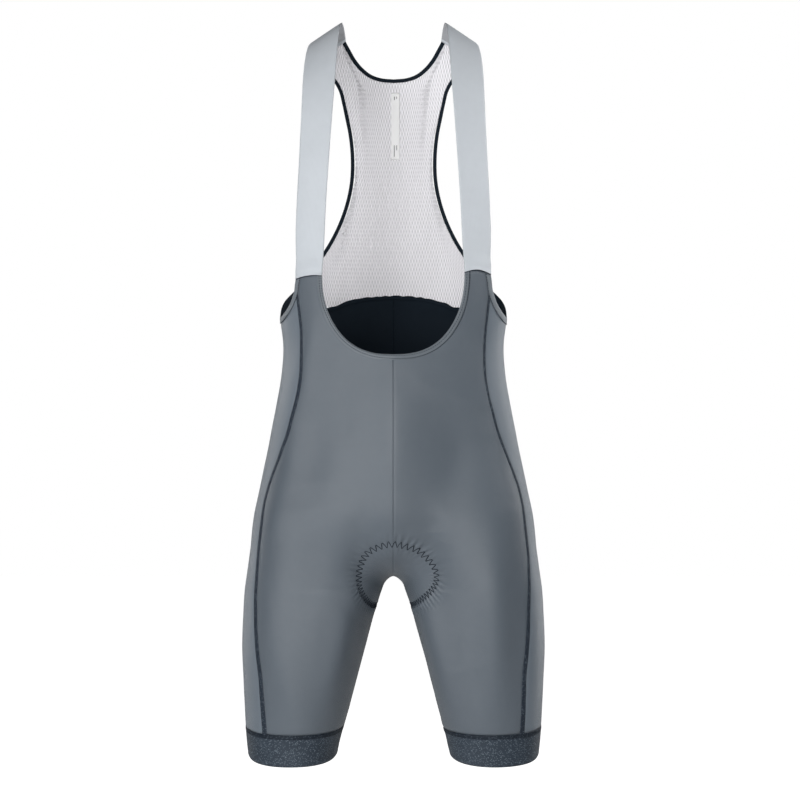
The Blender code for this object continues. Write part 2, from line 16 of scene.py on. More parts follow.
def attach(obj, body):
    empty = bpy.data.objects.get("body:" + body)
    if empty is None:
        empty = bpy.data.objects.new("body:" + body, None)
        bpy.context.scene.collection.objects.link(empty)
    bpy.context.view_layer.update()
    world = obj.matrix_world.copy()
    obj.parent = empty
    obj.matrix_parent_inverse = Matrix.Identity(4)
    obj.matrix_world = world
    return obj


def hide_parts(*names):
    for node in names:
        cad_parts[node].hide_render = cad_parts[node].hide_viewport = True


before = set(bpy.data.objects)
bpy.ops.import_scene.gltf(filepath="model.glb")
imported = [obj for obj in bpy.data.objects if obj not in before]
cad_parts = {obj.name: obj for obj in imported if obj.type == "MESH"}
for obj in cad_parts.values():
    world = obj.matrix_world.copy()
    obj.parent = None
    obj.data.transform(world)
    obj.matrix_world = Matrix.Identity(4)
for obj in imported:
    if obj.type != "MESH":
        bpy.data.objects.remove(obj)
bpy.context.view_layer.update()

METRES = 0.001


# Cloth
PANEL_WALL = 1.4
MESH_WALL = 1.1
STRAP_WALL = 1.3
GRIPPER_WALL = 1.6
BINDING_WIDE = 5.5
PAD_CLEAR = 2.5
# Shoulders: the strap tops lie on a line that falls from the neck to the arm
STRAP_MIDDLE = 80.5
SHOULDER_SLOPE = 0.70
NECK_ROUNDING = 25.0
SLOPE_FULL = -60.0
SLOPE_GONE = -280.0
# Figure: exponents round the sections, and the blends round the joins
TORSO_ROUNDNESS = 2.3
THIGH_ROUNDNESS = 2.15
TORSO_CLOSES = -562.0
TORSO_BOTTOM = 80.0
THIGH_CLOSES = -610.0
THIGH_TOP = 120.0
HIP_BLEND = 26.0
CROTCH_BLEND = 26.0
# Heights of the level seams
CROTCH = -649.0
GRIPPER_TOP = -833.0
HEM = -867.5
HEM_DIP = 3.5
STRAP_FRONT = -295.0
STRAP_ARCH = 2.0
ARCH_REACH = 60.0
INSEAM_START = 10.0
STRAP_BACK_ALONG = 44.0
# Rows and columns of the grids
NECK_ROWS = 10
RISE_ROWS = 14
LEG_ROWS = 8
HORN_ROWS = 2
RISE_GRADING = 1.3
LEG_GRADING = 1.35
FRONT_COLUMNS = 11
ARM_COLUMNS = 10
MESH_STRAP_COLUMNS = 4
MESH_NECK_COLUMNS = 6
MESH_ROWS = 17
STRAP_ROWS = 26
STRAP_COLUMNS = 4
RELAX_ROUNDS = 12
# Sampling of the figure and of the seam lines
PROFILE_POINTS = 400
FINE_POINTS = 40
OUTLINE_POINTS = 120
SEAM_POINTS = 24
PAD_SEAM_POINTS = 60
CENTRE_POINTS = 200
RAY_REACH = 260.0
RAY_STEPS = 131
RAY_HALVINGS = 30
SETTLE_ROUNDS = 10
LONGEST_STEP = 6.0
TINY = 0.01


class Table:
    """Rows of sizes with named columns, read smoothly along the first column."""

    def __init__(self, names, rows):
        self.names = names.split()
        self.rows = np.array(sorted(rows), float)

    def read(self, name, at):
        key = self.rows[:, 0]
        return smooth(key, self.rows[:, self.names.index(name)], at)


def smooth(key, values, at):
    """The smooth curve through the values, level beyond both ends."""
    slope = np.gradient(values, key)
    at = np.clip(at, key[0], key[-1])
    i = np.clip(np.searchsorted(key, at) - 1, 0, len(key) - 2)
    step = key[i + 1] - key[i]
    t = (at - key[i]) / step
    ends = values[i] * (1 + 2 * t) * (1 - t) ** 2 + values[i + 1] * t * t * (3 - 2 * t)
    return ends + step * t * (1 - t) * ((1 - t) * slope[i] - t * slope[i + 1])


HALF_WIDTHS = Table("height half_width", [
    (20, 155),
    (-60, 155),
    (-150, 150),
    (-230, 142),
    (-300, 138),
    (-345, 135.5),
    (-375, 132),
    (-410, 134),
    (-446, 140),
    (-482, 147),
    (-518, 153),
    (-562, 156),
    (-610, 158),
    (-660, 156),
])
# Depths of the torso on its centre line, against the height below the shoulder line
FRONT_PROFILE = [
    (0, 0),
    (-4, 19),
    (-15, 37),
    (-40, 58),
    (-80, 76),
    (-130, 88),
    (-200, 95),
    (-315, 97),
    (-374, 96),
    (-446, 99),
    (-500, 102),
    (-554, 103),
    (-610, 100),
    (-680, 95),
]
BACK_PROFILE = [
    (0, 0),
    (-4, 19),
    (-15, 37),
    (-40, 57),
    (-80, 74),
    (-130, 87),
    (-200, 94),
    (-315, 92),
    (-374, 91),
    (-446, 98),
    (-500, 108),
    (-554, 118),
    (-610, 120),
    (-680, 112),
]
THIGH = Table("height centre half_width front back", [
    (-480, 76, 76, 92, 104),
    (-560, 80, 80, 95, 112),
    (-610, 86, 84, 96, 110),
    (-645, 92, 83, 95, 103),
    (-663, 94.8, 82.8, 94, 99),
    (-699, 102, 78, 91, 92),
    (-735, 107.4, 73.8, 87, 87),
    (-771, 111.5, 68.3, 82, 81),
    (-807, 115.5, 62.7, 76, 74),
    (-843, 119.4, 57, 69, 67),
    (-875, 121, 52.2, 64, 62),
])
# Seam lines on the left half. On the front and the back they are given by the
# distance from the middle and the height, round the side by angle and height,
# where 0 degrees is the front, 90 the side and 180 the back.
NECKLINE = [
    (-81.6, -310),
    (-80, -321),
    (-76.5, -334),
    (-68, -352),
    (-55, -368.5),
    (-38.5, -380),
    (-20, -386),
    (0, -387.5),
]
SIDE_SEAM = Table("height distance", [
    (-318.7, -113.9),
    (-332, -111.4),
    (-354, -108.1),
    (-384, -105.5),
    (-407, -105.5),
    (-432, -109),
    (-457, -115.6),
    (-482, -122.6),
    (-500, -129.8),
    (-520, -138),
    (-540, -145.6),
    (-561, -151.2),
    (-590, -155),
    (-618, -158.5),
    (-647, -160.7),
    (-690, -161.1),
    (-734, -158.9),
    (-763, -155.5),
    (-793, -153.6),
    (-833, -150.8),
])
ARMHOLE = [
    (62.7, -307),
    (64, -318),
    (67, -327.5),
    (73, -337),
    (82, -342),
    (91, -339.5),
    (96.5, -330.5),
    (103.5, -320),
    (109, -312.5),
    (112.5, -307.5),
    (120.6, -291),
    (130.3, -264.5),
    (137.3, -242),
    (144.8, -208),
    (149, -170),
    (148.8, -137),
    (142.7, -92),
    (126, -46),
    (119.5, -42.5),
    (113.4, -37.5),
]
BACK_NECK = [
    (-53.5, -11),
    (-47.6, -20.5),
    (-41.6, -28),
    (-35.6, -33.4),
    (-25.5, -39.8),
    (-12.5, -43),
    (0, -43.8),
]
WAIST_SEAM = [
    (-99, -313),
    (-91, -326),
    (-82.5, -329.3),
    (-64, -323),
    (-42, -316.8),
    (0, -313.3),
]
# Heights of the grid rows along the side seam, between the rows that have corners
ROW_HEIGHTS = Table("row height", [
    (HORN_ROWS, -318.7),
    (NECK_ROWS, -458),
    (NECK_ROWS + RISE_ROWS, -652),
    (NECK_ROWS + RISE_ROWS + LEG_ROWS, GRIPPER_TOP),
])
STRAP_EDGES = Table("along inner outer", [
    (-335, -82.4, -113.8),
    (-270, -80.2, -112.4),
    (-175, -73.8, -108.4),
    (-105, -69, -106),
    (-70, -67, -105.4),
    (-45, -65.2, -104.2),
    (-20, -63.2, -102),
    (0, -61.7, -100),
    (45, -58.5, -97.5),
])
PAD_EDGE = Table("along half_width", [
    (-120, 20),
    (-112, 34),
    (-90, 41),
    (-50, 44),
    (0, 42),
    (60, 50),
    (120, 68),
    (170, 72),
    (205, 58),
    (222, 36),
])
PAD_FRONT_TOP = -560.0
PAD_BACK_TOP = -480.0
PAD_ROWS = 18
PAD_COLUMNS = 5
LABEL_LEFT = -3.0
LABEL_RIGHT = 7.2
LABEL_TOP = -60.0
LABEL_BOTTOM = -142.0
LABEL_COLUMNS = 2
LABEL_ROWS = 6
LABEL_WALL = 0.6
LABEL_CLEAR = 0.6
# Axis of the left half, from which its sections are seen round
AXIS = Table("height distance", [
    (-280, -40),
    (-380, -48),
    (-480, -62),
    (-560, -80),
    (-610, -88),
    (-645, -92),
    (-699, -102),
    (-771, -111.5),
    (-843, -119.4),
    (-875, -121),
])
CENTRE_CLEAR = 0.3
# Where the armhole meets the waist seam, by angle and height
JUNCTION = (120.6, -291)
# Points in the openings, which tell a tape which way is out
ARMPIT = (-160, 20, -180)
NECK_OPENING = (0, 0, 40)
# Points of the front and the back by distance and height, which lie in the cloth
BELLY = (-60, -450)
SPINE = (0, -200)


def dense_profile(rows):
    """Arc length, height and depth along one half of the side view."""
    rows = np.array(rows, float)
    line = spread(rows, PROFILE_POINTS)
    return lengths(line), line[:, 0], line[:, 1]


def lengths(points):
    """Distance along a chain of points, from its first point."""
    steps = np.linalg.norm(np.diff(points, axis=0), axis=1)
    return np.concatenate([[0], np.cumsum(steps)])


def spread(points, count, near_end=1.0, near_start=1.0):
    """The smooth curve through the points as count + 1 points.

    The spacing is even, or closer near one end where that end's power is above 1.
    """
    points = np.asarray(points, float)
    along = lengths(points)
    fine = np.linspace(0, along[-1], FINE_POINTS * len(points))
    line = np.stack([smooth(along, c, fine) for c in points.T], axis=-1)
    along = lengths(line)
    share = np.linspace(0, 1, count + 1) ** near_start
    share = 1 - (1 - share) ** near_end
    return np.stack([np.interp(share * along[-1], along, c) for c in line.T], axis=-1)


FRONT_LINE = dense_profile(FRONT_PROFILE)
BACK_LINE = dense_profile(BACK_PROFILE)


def torso_depth(level, line):
    """Depth of the torso's centre line at a height below the shoulder line."""
    return np.interp(-level, -line[1], line[2])


def shoulder_line(x):
    """Height of the top of the shoulder, against the distance from the middle."""
    return SHOULDER_SLOPE * (np.hypot(STRAP_MIDDLE, NECK_ROUNDING) - np.hypot(x, NECK_ROUNDING))


def slope_share(z):
    """How much of the shoulder's slope a height still has, from 1 down to 0."""
    t = np.clip((z - SLOPE_GONE) / (SLOPE_FULL - SLOPE_GONE), 0, 1)
    return t * t * (3 - 2 * t)


def torso(x, y, z):
    """Signed distance, roughly, to the torso, which is less than 0 inside."""
    level = z - shoulder_line(x) * slope_share(z)
    wide = HALF_WIDTHS.read("half_width", z)
    front = torso_depth(level, FRONT_LINE)
    back = torso_depth(level, BACK_LINE)
    deep = np.maximum(np.where(y < 0, front, back), 1)
    closing = np.maximum(TORSO_CLOSES - z, 0) / TORSO_BOTTOM
    n = TORSO_ROUNDNESS
    r = ((abs(x) / wide) ** n + (abs(y) / deep) ** n + closing**n) ** (1 / n)
    return (r - 1) * np.minimum(wide, deep)


def thigh(x, y, z):
    """Signed distance, roughly, to the thigh at x above 0."""
    across = abs(x - THIGH.read("centre", z)) / THIGH.read("half_width", z)
    deep = np.where(y < 0, THIGH.read("front", z), THIGH.read("back", z))
    closing = np.maximum(z - THIGH_CLOSES, 0) / THIGH_TOP
    n = THIGH_ROUNDNESS
    r = (across**n + (abs(y) / deep) ** n + closing**n) ** (1 / n)
    return (r - 1) * THIGH.read("half_width", z)


def blend(a, b, reach):
    """The lesser of two distances, rounded where they are within reach."""
    h = np.maximum(reach - abs(a - b), 0) / reach
    return np.minimum(a, b) - h * h * reach / 4


def figure(points):
    """Signed distance, roughly, from points to the outer face of the cloth."""
    x, y, z = np.moveaxis(points, -1, 0)
    thighs = blend(thigh(abs(x), y, z), thigh(-abs(x), y, z), CROTCH_BLEND)
    return blend(thighs, torso(x, y, z), HIP_BLEND)


def slope(points):
    """Gradient of the figure's distance."""
    steps = TINY * np.eye(3)
    sides = [(figure(points + s) - figure(points - s)) / (2 * TINY) for s in steps]
    return np.stack(sides, axis=-1)


def outward(points):
    """Unit normal of the figure at points."""
    g = slope(points)
    return g / np.linalg.norm(g, axis=-1, keepdims=True)


def settle_once(points):
    """Points moved one step straight towards the figure."""
    g = slope(points)
    step = np.clip(figure(points) / (g * g).sum(axis=-1), -LONGEST_STEP, LONGEST_STEP)
    return points - step[..., None] * g


def settle(points, offset=0.0):
    """Points moved straight onto the figure, or to an offset outside it."""
    for _ in range(SETTLE_ROUNDS):
        points = settle_once(points)
    return points + offset * outward(points) if offset else points


def cast(start, way):
    """Where rays that start inside the figure first leave it."""
    steps = np.linspace(0, RAY_REACH, RAY_STEPS)
    value = figure(start[..., None, :] + way[..., None, :] * steps[:, None])
    first = np.argmax(value > 0, axis=-1)
    low = steps[first - 1]
    high = steps[first]
    for _ in range(RAY_HALVINGS):
        middle = (low + high) / 2
        inside = figure(start + way * middle[..., None]) < 0
        low = np.where(inside, middle, low)
        high = np.where(inside, high, middle)
    return start + way * low[..., None]


def facing(rows, way_y):
    """Points of the front or the back at rows of distance and height."""
    rows = np.asarray(rows, float)
    start = np.stack([rows[:, 0], 0 * rows[:, 0], rows[:, 1]], axis=-1)
    way = np.zeros_like(start)
    way[:, 1] = way_y
    return cast(start, way)


def around(rows):
    """Points of the left side at rows of angle and height."""
    angle, height = np.array(rows, float).T
    turn = np.radians(angle)
    start = np.stack([0 * height, 0 * height, height], axis=-1)
    way = np.stack([-np.sin(turn), -np.cos(turn), 0 * turn], axis=-1)
    return cast(start, way)


def inset(line, width, towards):
    """A line on the figure moved sideways along it, to the side where towards lies."""
    along = np.gradient(line, axis=0)
    side = np.cross(outward(line), along)
    side = side / np.linalg.norm(side, axis=1, keepdims=True)
    sign = np.sign(((towards - line) * side).sum())
    return settle(line + sign * width * side)


def rise(way_y, top, count):
    """The centre seam from a height on the front or the back down to the crotch."""
    straight = np.linspace(top, TORSO_CLOSES, SEAM_POINTS // 2)
    line = facing(np.stack([0 * straight, straight], axis=-1), way_y)
    turn = np.radians(np.linspace(0, 90, SEAM_POINTS + 1)[1:])
    start = np.tile([0.0, 0.0, TORSO_CLOSES], (len(turn), 1))
    way = np.stack([0 * turn, way_y * np.cos(turn), -np.sin(turn)], axis=-1)
    return settle(spread(np.concatenate([line, cast(start, way)]), count, near_end=RISE_GRADING))


def inseam(count):
    """The seam down the inside of the left thigh, from the crotch to the gripper."""
    height = np.linspace(CROTCH - INSEAM_START, GRIPPER_TOP, SEAM_POINTS)
    centre = THIGH.read("centre", height)
    start = np.stack([-centre, 0 * height, height], axis=-1)
    line = cast(start, np.tile([1.0, 0.0, 0.0], (len(height), 1)))
    apex = cast(np.array([[0.0, 0.0, TORSO_CLOSES]]), np.array([[0.0, 0.0, -1.0]]))
    return settle(spread(np.concatenate([apex, line]), count, near_start=LEG_GRADING))


def relax(grid):
    """Even out the inner points of a grid on the figure and keep its edges."""
    for _ in range(RELAX_ROUNDS):
        middle = grid[1:-1, :-2] + grid[1:-1, 2:] + grid[:-2, 1:-1] + grid[2:, 1:-1]
        grid[1:-1, 1:-1] = settle_once(middle / 4)
        for row in grid[NECK_ROWS + 2:-1]:
            row[:] = divide(row, len(row) - 1)
    grid[1:-1, 1:-1] = settle(grid[1:-1, 1:-1])
    return grid


def strap_grid():
    """The left strap from the front seam over the shoulder to the back seam."""
    front_length = np.interp(-STRAP_FRONT, -FRONT_LINE[1], FRONT_LINE[0])
    along = np.linspace(-front_length, STRAP_BACK_ALONG, STRAP_ROWS + 1)
    share = np.linspace(0, 1, STRAP_COLUMNS + 1)
    inner = STRAP_EDGES.read("inner", along)[:, None]
    outer = STRAP_EDGES.read("outer", along)[:, None]
    x = inner + (outer - inner) * share
    line_front = np.interp(-along, FRONT_LINE[0], FRONT_LINE[1])
    line_back = np.interp(along, BACK_LINE[0], BACK_LINE[1])
    level = np.where(along < 0, line_front, line_back)[:, None]
    deep_front = -np.interp(-along, FRONT_LINE[0], FRONT_LINE[2])
    deep_back = np.interp(along, BACK_LINE[0], BACK_LINE[2])
    deep = np.where(along < 0, deep_front, deep_back)[:, None]
    z = level + shoulder_line(x)
    for _ in range(SETTLE_ROUNDS):
        z = level + shoulder_line(x) * slope_share(z)
    near_seam = np.clip(1 - (front_length + along[:, None]) / ARCH_REACH, 0, 1)
    z = z + STRAP_ARCH * (1 - (2 * share - 1) ** 2) * near_seam
    n = TORSO_ROUNDNESS
    y = deep * (1 - (abs(x) / HALF_WIDTHS.read("half_width", z)) ** n) ** (1 / n)
    return np.stack([x, y, z], axis=-1)


def divide(chain, count):
    """A chain of points cut into even straight spans."""
    along = lengths(chain)
    even = np.linspace(0, along[-1], count + 1)
    return np.stack([np.interp(even, along, c) for c in chain.T], axis=-1)


def nearest(line, point):
    """Index of the point of a line that is nearest to a point."""
    return int(np.argmin(np.linalg.norm(line - point, axis=1)))


def side_seam(top):
    """The seam from the armhole down the front of the side to the gripper."""
    rows = np.arange(HORN_ROWS + 1, NECK_ROWS + RISE_ROWS + LEG_ROWS + 1)
    height = ROW_HEIGHTS.read("height", rows)
    line = facing(np.stack([SIDE_SEAM.read("distance", height), height], axis=-1), -1)
    return np.concatenate([[top], line])


def front_grid(top, neck, horn, seam, legs):
    """The left front panel, between the centre line and the side seam."""
    centre = rise(-1, neck[-1, 2], RISE_ROWS)
    inner = np.concatenate([neck, centre[1:], legs[1:]])
    outer = np.concatenate([horn, seam[1:]])
    return fill(divide(top, FRONT_COLUMNS), inner, outer, -180)


def fill(top, first, last, inward):
    """A panel's grid between its two long seams, on the figure."""
    share = np.linspace(0, 1, len(top))
    turn_first = angles(first)
    turn_last = angles(last)
    on_inseam = turn_last if inward > 0 else turn_first
    on_inseam[-LEG_ROWS - 1:] = inward
    angle = turn_first[:, None] * (1 - share) + turn_last[:, None] * share
    height = first[:, 2:] * (1 - share) + last[:, 2:] * share
    fade = np.linspace(1, 0, len(first))[:, None] ** 3
    height = height + (top[:, 2] - height[0]) * fade
    grid = ring(height, angle)
    grid[..., 0] = np.minimum(grid[..., 0], -CENTRE_CLEAR)
    grid[0] = top
    grid[:, 0] = first
    grid[:, -1] = last
    for row in grid[1:]:
        row[:] = divide(row, len(row) - 1)
    grid[-1, 1:-1] = ring(GRIPPER_TOP, angles(grid[-1, 1:-1]))
    return relax(grid)


def angles(points):
    """Angle round the left thigh: 0 outward, 90 at the back, 180 or -180 inward."""
    x = points[..., 0] - axis_at(points[..., 2])
    return np.degrees(np.arctan2(points[..., 1], -x))


def axis_at(height):
    """Distance of the left half's axis from the middle, down torso and thigh."""
    return AXIS.read("distance", height)


def ring(height, angle):
    """Points of the left half at heights and angles round its axis."""
    turn = np.radians(angle)
    height = height + 0 * turn
    start = np.stack([axis_at(height), 0 * turn, height], axis=-1)
    way = np.stack([-np.cos(turn), np.sin(turn), 0 * turn], axis=-1)
    return cast(start, way)


def side_back_grid(top, seam, legs):
    """The left side and back panel, from the side seam round to the centre back."""
    centre = rise(1, top[-1, 2], NECK_ROWS + RISE_ROWS - HORN_ROWS)
    return fill(top, seam, np.concatenate([centre, legs[1:]]), 180)


def patch(bottom, top, outer, centre):
    """A grid with four given edges, filled by a Coons patch seen from the back."""
    u = np.linspace(0, 1, len(bottom))[None, :, None]
    v = np.linspace(0, 1, len(outer))[:, None, None]
    across = outer[:, None] * (1 - u) + centre[:, None] * u
    down = top[None] * (1 - v) + bottom[None] * v
    high = top[0] * (1 - u) + top[-1] * u
    low = bottom[0] * (1 - u) + bottom[-1] * u
    return across + down - (high * (1 - v) + low * v)


def mesh_grid(waist, armhole, strap_end, neck):
    """The left half of the back panel, from its armhole to the middle."""
    top = np.concatenate([divide(strap_end, MESH_STRAP_COLUMNS), neck[1:]])
    share = np.linspace(0, 1, MESH_ROWS + 1)[:, None]
    centre = top[-1] * (1 - share) + waist[-1] * share
    grid = patch(waist, top, armhole, centre)
    inner = grid[1:-1, 1:]
    flat = np.stack([inner[..., 0], inner[..., 2]], axis=-1).reshape(-1, 2)
    grid[1:-1, 1:] = facing(flat, 1).reshape(inner.shape)
    return grid


def label_grid():
    """The label that hangs on the inner face of the back panel."""
    x = np.linspace(LABEL_LEFT, LABEL_RIGHT, LABEL_COLUMNS + 1)
    z = np.linspace(LABEL_TOP, LABEL_BOTTOM, LABEL_ROWS + 1)
    rows = np.stack(np.meshgrid(x, z), axis=-1)
    points = facing(rows.reshape(-1, 2), 1).reshape(len(z), len(x), 3)
    return settle(points, -MESH_WALL - LABEL_CLEAR)


# Grids of the cloth: each span of the seam grids is cut into so many finer spans
PANEL_FINER = 8
PLAIN_FINER = 5
# The side and back's finer part lies by the pad, between two heights and near the middle
SEAT_HIGH = -470.0
SEAT_LOW = -690.0
SEAT_REACH = 90.0
# The front's spans near the seat pad's zigzag, and elsewhere
FRONT_ROWS_FINER = (18, 6)
FRONT_COLUMNS_FINER = (16, 7)
PAD_LEVEL = -645.0
PAD_REACH = 52.0
PAD_SIDE_REACH = 64.0
STRAP_FINER = 6
NET_FINER = 11
NET_ROWS_FINER = 8
BAND_COLUMNS = 240
BAND_ROWS = 24

# How the cloth lies: edges dip into their seams, and the seat pad shows through
SEAM_DIP = 0.7
SEAM_REACH = 2.2
FLATLOCK_DIP = 0.45
FLATLOCK_REACH = 5.0
STITCH_DIP = 0.35
STITCH_REACH = 3.0
PUCKER_HIGH = 0.6
PUCKER_INSIDE = 0.35
CENTRE_DIP = 0.2
CENTRE_REACH = 1.2
NET_RELIEF = 0.26
NET_STRETCHED = 1.2
NET_STRETCH_PLACE = (-70, -300)
NET_ACROSS = 3.58
NET_ALONG = 10.5
NET_OPEN = 0.38
NET_STRETCH_REACH = 75.0
NET_PAST = 2.6
NET_PAST_TOP = 0.8
STRAP_OVER = 1.4
STRAP_OVER_LONG = 8.0
STRAP_OVER_FADE = 14.0
STRAP_LAP_ROWS = 8
STRAP_HEM = 4.5
STRAP_TURN = 2.5
STRAP_TURN_FADE = 60.0
STRAP_END_ROWS = (0, 1.2, 2.6, 4.0)
STRAP_END_WALL = 2.1
PAD_SHOWS = 1.2
PAD_SHOWS_REACH = 9.0
PAD_PULL_REACH = 60.0
PAD_PULL_FADE = 20.0

# The overlock's edge changes its height once in so many steps
OVERLOCK_EVERY = 5

# How distances to a path are measured: points past the reach count as far off
NEAR_PATH = 30.0
FAR_OFF = 1000.0
POINTS_AT_ONCE = 4000

# Threads
# Pitch of the zigzag at the top of its loop and at its sides, and how far along the sides
# start
ZIGZAG_PITCHES = (8.0, 5.0)
ZIGZAG_SIDES = 75.0
ZIGZAG_HALF = 4.8
ZIGZAG_RADIUS = 0.48
ZIGZAG_STEPS = 10
ZIGZAG_SHARP = 0.99
# Plain bars on the label: share across it, shares down it where each starts and ends,
# and width
LABEL_BARS = [
    (0.38, 0.055, 0.105, 0.9),
    (0.66, 0.055, 0.09, 0.8),
    (0.36, 0.78, 0.95, 0.9),
    (0.66, 0.78, 0.855, 0.8),
]
STITCH_PITCH = 2.9
STITCH_LONG = 2.5
STITCH_RADIUS = 0.42
STITCH_STEP = 0.5
# Shares along half a stitch, and its thickness there as a share of the full one
STITCH_SHAPE = [(-1, 0.35), (-0.8, 0.85), (-0.35, 1), (0.35, 1), (0.8, 0.85), (1, 0.35)]
FLATLOCK_WIDE = 5.0
FLATLOCK_HIGH = 0.55
FLATLOCK_EDGE = 0.62
FLATLOCK_EDGE_WIDE = 0.16
FLATLOCK_STEP = 0.4
GRIPPER_SEAM_WIDE = 6.0
GRIPPER_SEAM_DROP = 2.2
GRIPPER_THREAD_PITCH = 1.6
SEAT_SEAM_RISES = 40.0
THREAD_SIDES = 6
# Width of the side seams against their height
SEAM_WIDTHS = Table("height width", [
    (-318, 3.6),
    (-350, 4.4),
    (-450, 5.0),
    (-560, 6.2),
    (-700, 7.0),
    (-833, 7.2),
])
RIGHT_SEAM_SHARES = Table("height share", [
    (-320, 0.66),
    (-500, 0.76),
    (-700, 0.90),
    (-833, 0.98),
])
# How far the right half's side seam lies from the left half's mirror image
RIGHT_SLIDES = Table("height slide", [
    (-320, 0.0),
    (-354, 1.6),
    (-387, 2.8),
    (-420, 4.2),
    (-469, 4.8),
    (-518, 3.6),
    (-551, 1.4),
    (-600, 0.1),
    (-649, -3.0),
    (-682, -3.7),
    (-714, -2.2),
    (-763, 0.0),
    (-812, 1.8),
    (-833, 2.0),
])
RIGHT_SLIDE_REACH = 24.0
# How far each strap's lower edge laps over its panel, at its inner edge, middle and
# outer edge
STRAP_LAPS = {"left": (1.0, 2.6, 3.8), "right": (1.6, 0.6, 3.0)}
# How far the armhole tape reaches over the panel on each side
ARM_TAPE_WIDER = {"left": 1.8, "right": 3.2}
# How far the neck tape's stitches lie past its line, on the left and on the right
NECK_STITCHES = (-1.5, 1.7)
NECK_STITCHES_TURN = 150.0
# The right shoulder sits a little higher than the left
RAISED = 5.0
RAISED_FROM = 30.0
RAISED_FULL = 80.0
RAISED_HEIGHT = -288.0
RAISED_REACH = 34.0
RAISED_FADE = 30.0
# How far behind the middle what belongs to the front alone takes to appear
FRONT_FADE = 20.0

# The line of the zigzag that holds the seat pad, as it shows on the front: distance
# from the middle on either side and height
PAD_STITCH = [
    (0, 0, -604.6),
    (-7.3, 7, -605.6),
    (-14.3, 13.6, -607.6),
    (-21.4, 21, -611),
    (-28.3, 28.6, -615.5),
    (-34.6, 36, -624),
    (-37.6, 42.5, -632),
    (-39.9, 46.4, -640),
    (-40.4, 47.6, -648),
    (-39.9, 45.6, -656),
    (-37.0, 40.4, -664.5),
    (-32.3, 33.5, -672),
]
PAD_STITCH_BEHIND = 30.0
# A height on the front's middle that lies inside the zigzag's loop
PAD_INSIDE = -625.0

# The share of a crease that its height at its ends is read at
CREASE_ENDS = 0.04
# Soft creases of the front: x and height of one end, x and height of the other, width
# and how far it stands out, or lies in where it is less than 0
CREASES = [
    (-52, -400, -60, -500, 16, -1.6),
    (-98, -350, -96, -450, 12, 0.8),
    (52, -420, 78, -520, 20, -1.4),
    (-30, -560, -48, -600, 12, -0.8),
    (32, -556, 56, -596, 12, -0.8),
    (-60, -668, -44, -700, 9, -0.9),
    (62, -664, 44, -698, 9, -0.9),
    (97, -440, 63, -580, 30, -3.2),
    (87, -470, 53, -610, 30, -3.2),
    (37, -380, 3, -520, 30, 2.0),
    (10, -410, 10, -550, 30, 2.5),
    (-73, -410, -107, -550, 20, -1.4),
    (-73, -440, -107, -580, 20, -1.9),
    (-93, -350, -127, -490, 14, 3.6),
    (-113, -470, -147, -610, 14, 2.6),
    (-90, -530, -90, -670, 30, -3.0),
    (-100, -560, -100, -700, 30, -2.3),
    (-43, -650, -77, -790, 14, 3.6),
    (-147, -680, -113, -820, 20, 3.0),
    (33, -680, 67, -820, 14, 5.0),
    (23, -650, 57, -790, 14, 2.0),
    (53, -620, 87, -760, 30, -4.4),
    (120, -620, 120, -760, 14, 3.0),
    (150, -650, 150, -790, 14, -2.4),
    (40, -592, 43, -668, 16, -4.0),
    (-36, -592, -42, -660, 13, -2.0),
    (134, -550, 90, -730, 20, 2.4),
    (144, -700, 144, -880, 20, -2.2),
    (18, -670, 62, -850, 20, 5.5),
]
# A soft keel down the middle of the front: its height at each level, its width, and
# how rounded its top is
RIDGE = Table("level high", [
    (-300, 0.0),
    (-345, 1.0),
    (-385, 7.5),
    (-420, 9.0),
    (-500, 9.0),
    (-540, 7.0),
    (-590, 5.0),
    (-630, 4.0),
    (-655, 2.5),
    (-680, 0.0),
])
RIDGE_WIDE = 27.0
RIDGE_ROUND = 8.0
# The arch between the legs is a little pointed in the middle
ARCH_PEAK = 2.4
ARCH_PEAK_WIDE = 7.0
ARCH_PEAK_LEVEL = -640.0
ARCH_PEAK_FADE = 8.0
# How far the legs' inner edges lie aside of the solids', and where those edges are
ARCH_SLIDES = Table("height left right edge", [
    (-560, 0.0, 0.0, 0),
    (-645, 0.2, 0.6, 4),
    (-655, -1.6, 3.2, 10),
    (-669, -2.2, 4.2, 16),
    (-678, -1.6, 4.2, 18),
    (-690, -0.4, 4.3, 21),
    (-705, 0.0, 5.7, 25),
    (-726, 0.0, 7.7, 31),
    (-745, 0.0, 8.8, 37),
    (-773, 0.0, 8.3, 44),
    (-797, 0.2, 6.4, 51),
    (-815, 0.8, 3.8, 56),
    (-840, 0.6, 0.6, 63),
    (-855, 0.0, 0.2, 66),
])
ARCH_SLIDE_REACH = 28.0
ARCH_SLIDE_FULL = 14.0
# The legs' openings are a little higher at their sides
HEM_RISE = 3.2
HEM_RISE_FROM = -785.0
HEM_RISE_FADE = 45.0
HEM_RISE_REACH = 42.0


def finer_lines(values, times):
    """Lines of points cut into more spans: a Hermite curve through each line's points.

    times is how many spans each one becomes, the same for all of them or one for each.
    """
    slopes = np.gradient(values, axis=0)
    times = np.broadcast_to(times, len(values) - 1)
    at = np.concatenate([[0], np.cumsum(np.repeat(1 / times, times))])
    i = np.minimum(at.astype(int), len(values) - 2)
    t = (at - i).reshape(-1, *[1] * (values.ndim - 1))
    ends = values[i] * (1 + 2 * t) * (1 - t) ** 2 + values[i + 1] * t * t * (3 - 2 * t)
    return ends + t * (1 - t) * ((1 - t) * slopes[i] - t * slopes[i + 1])


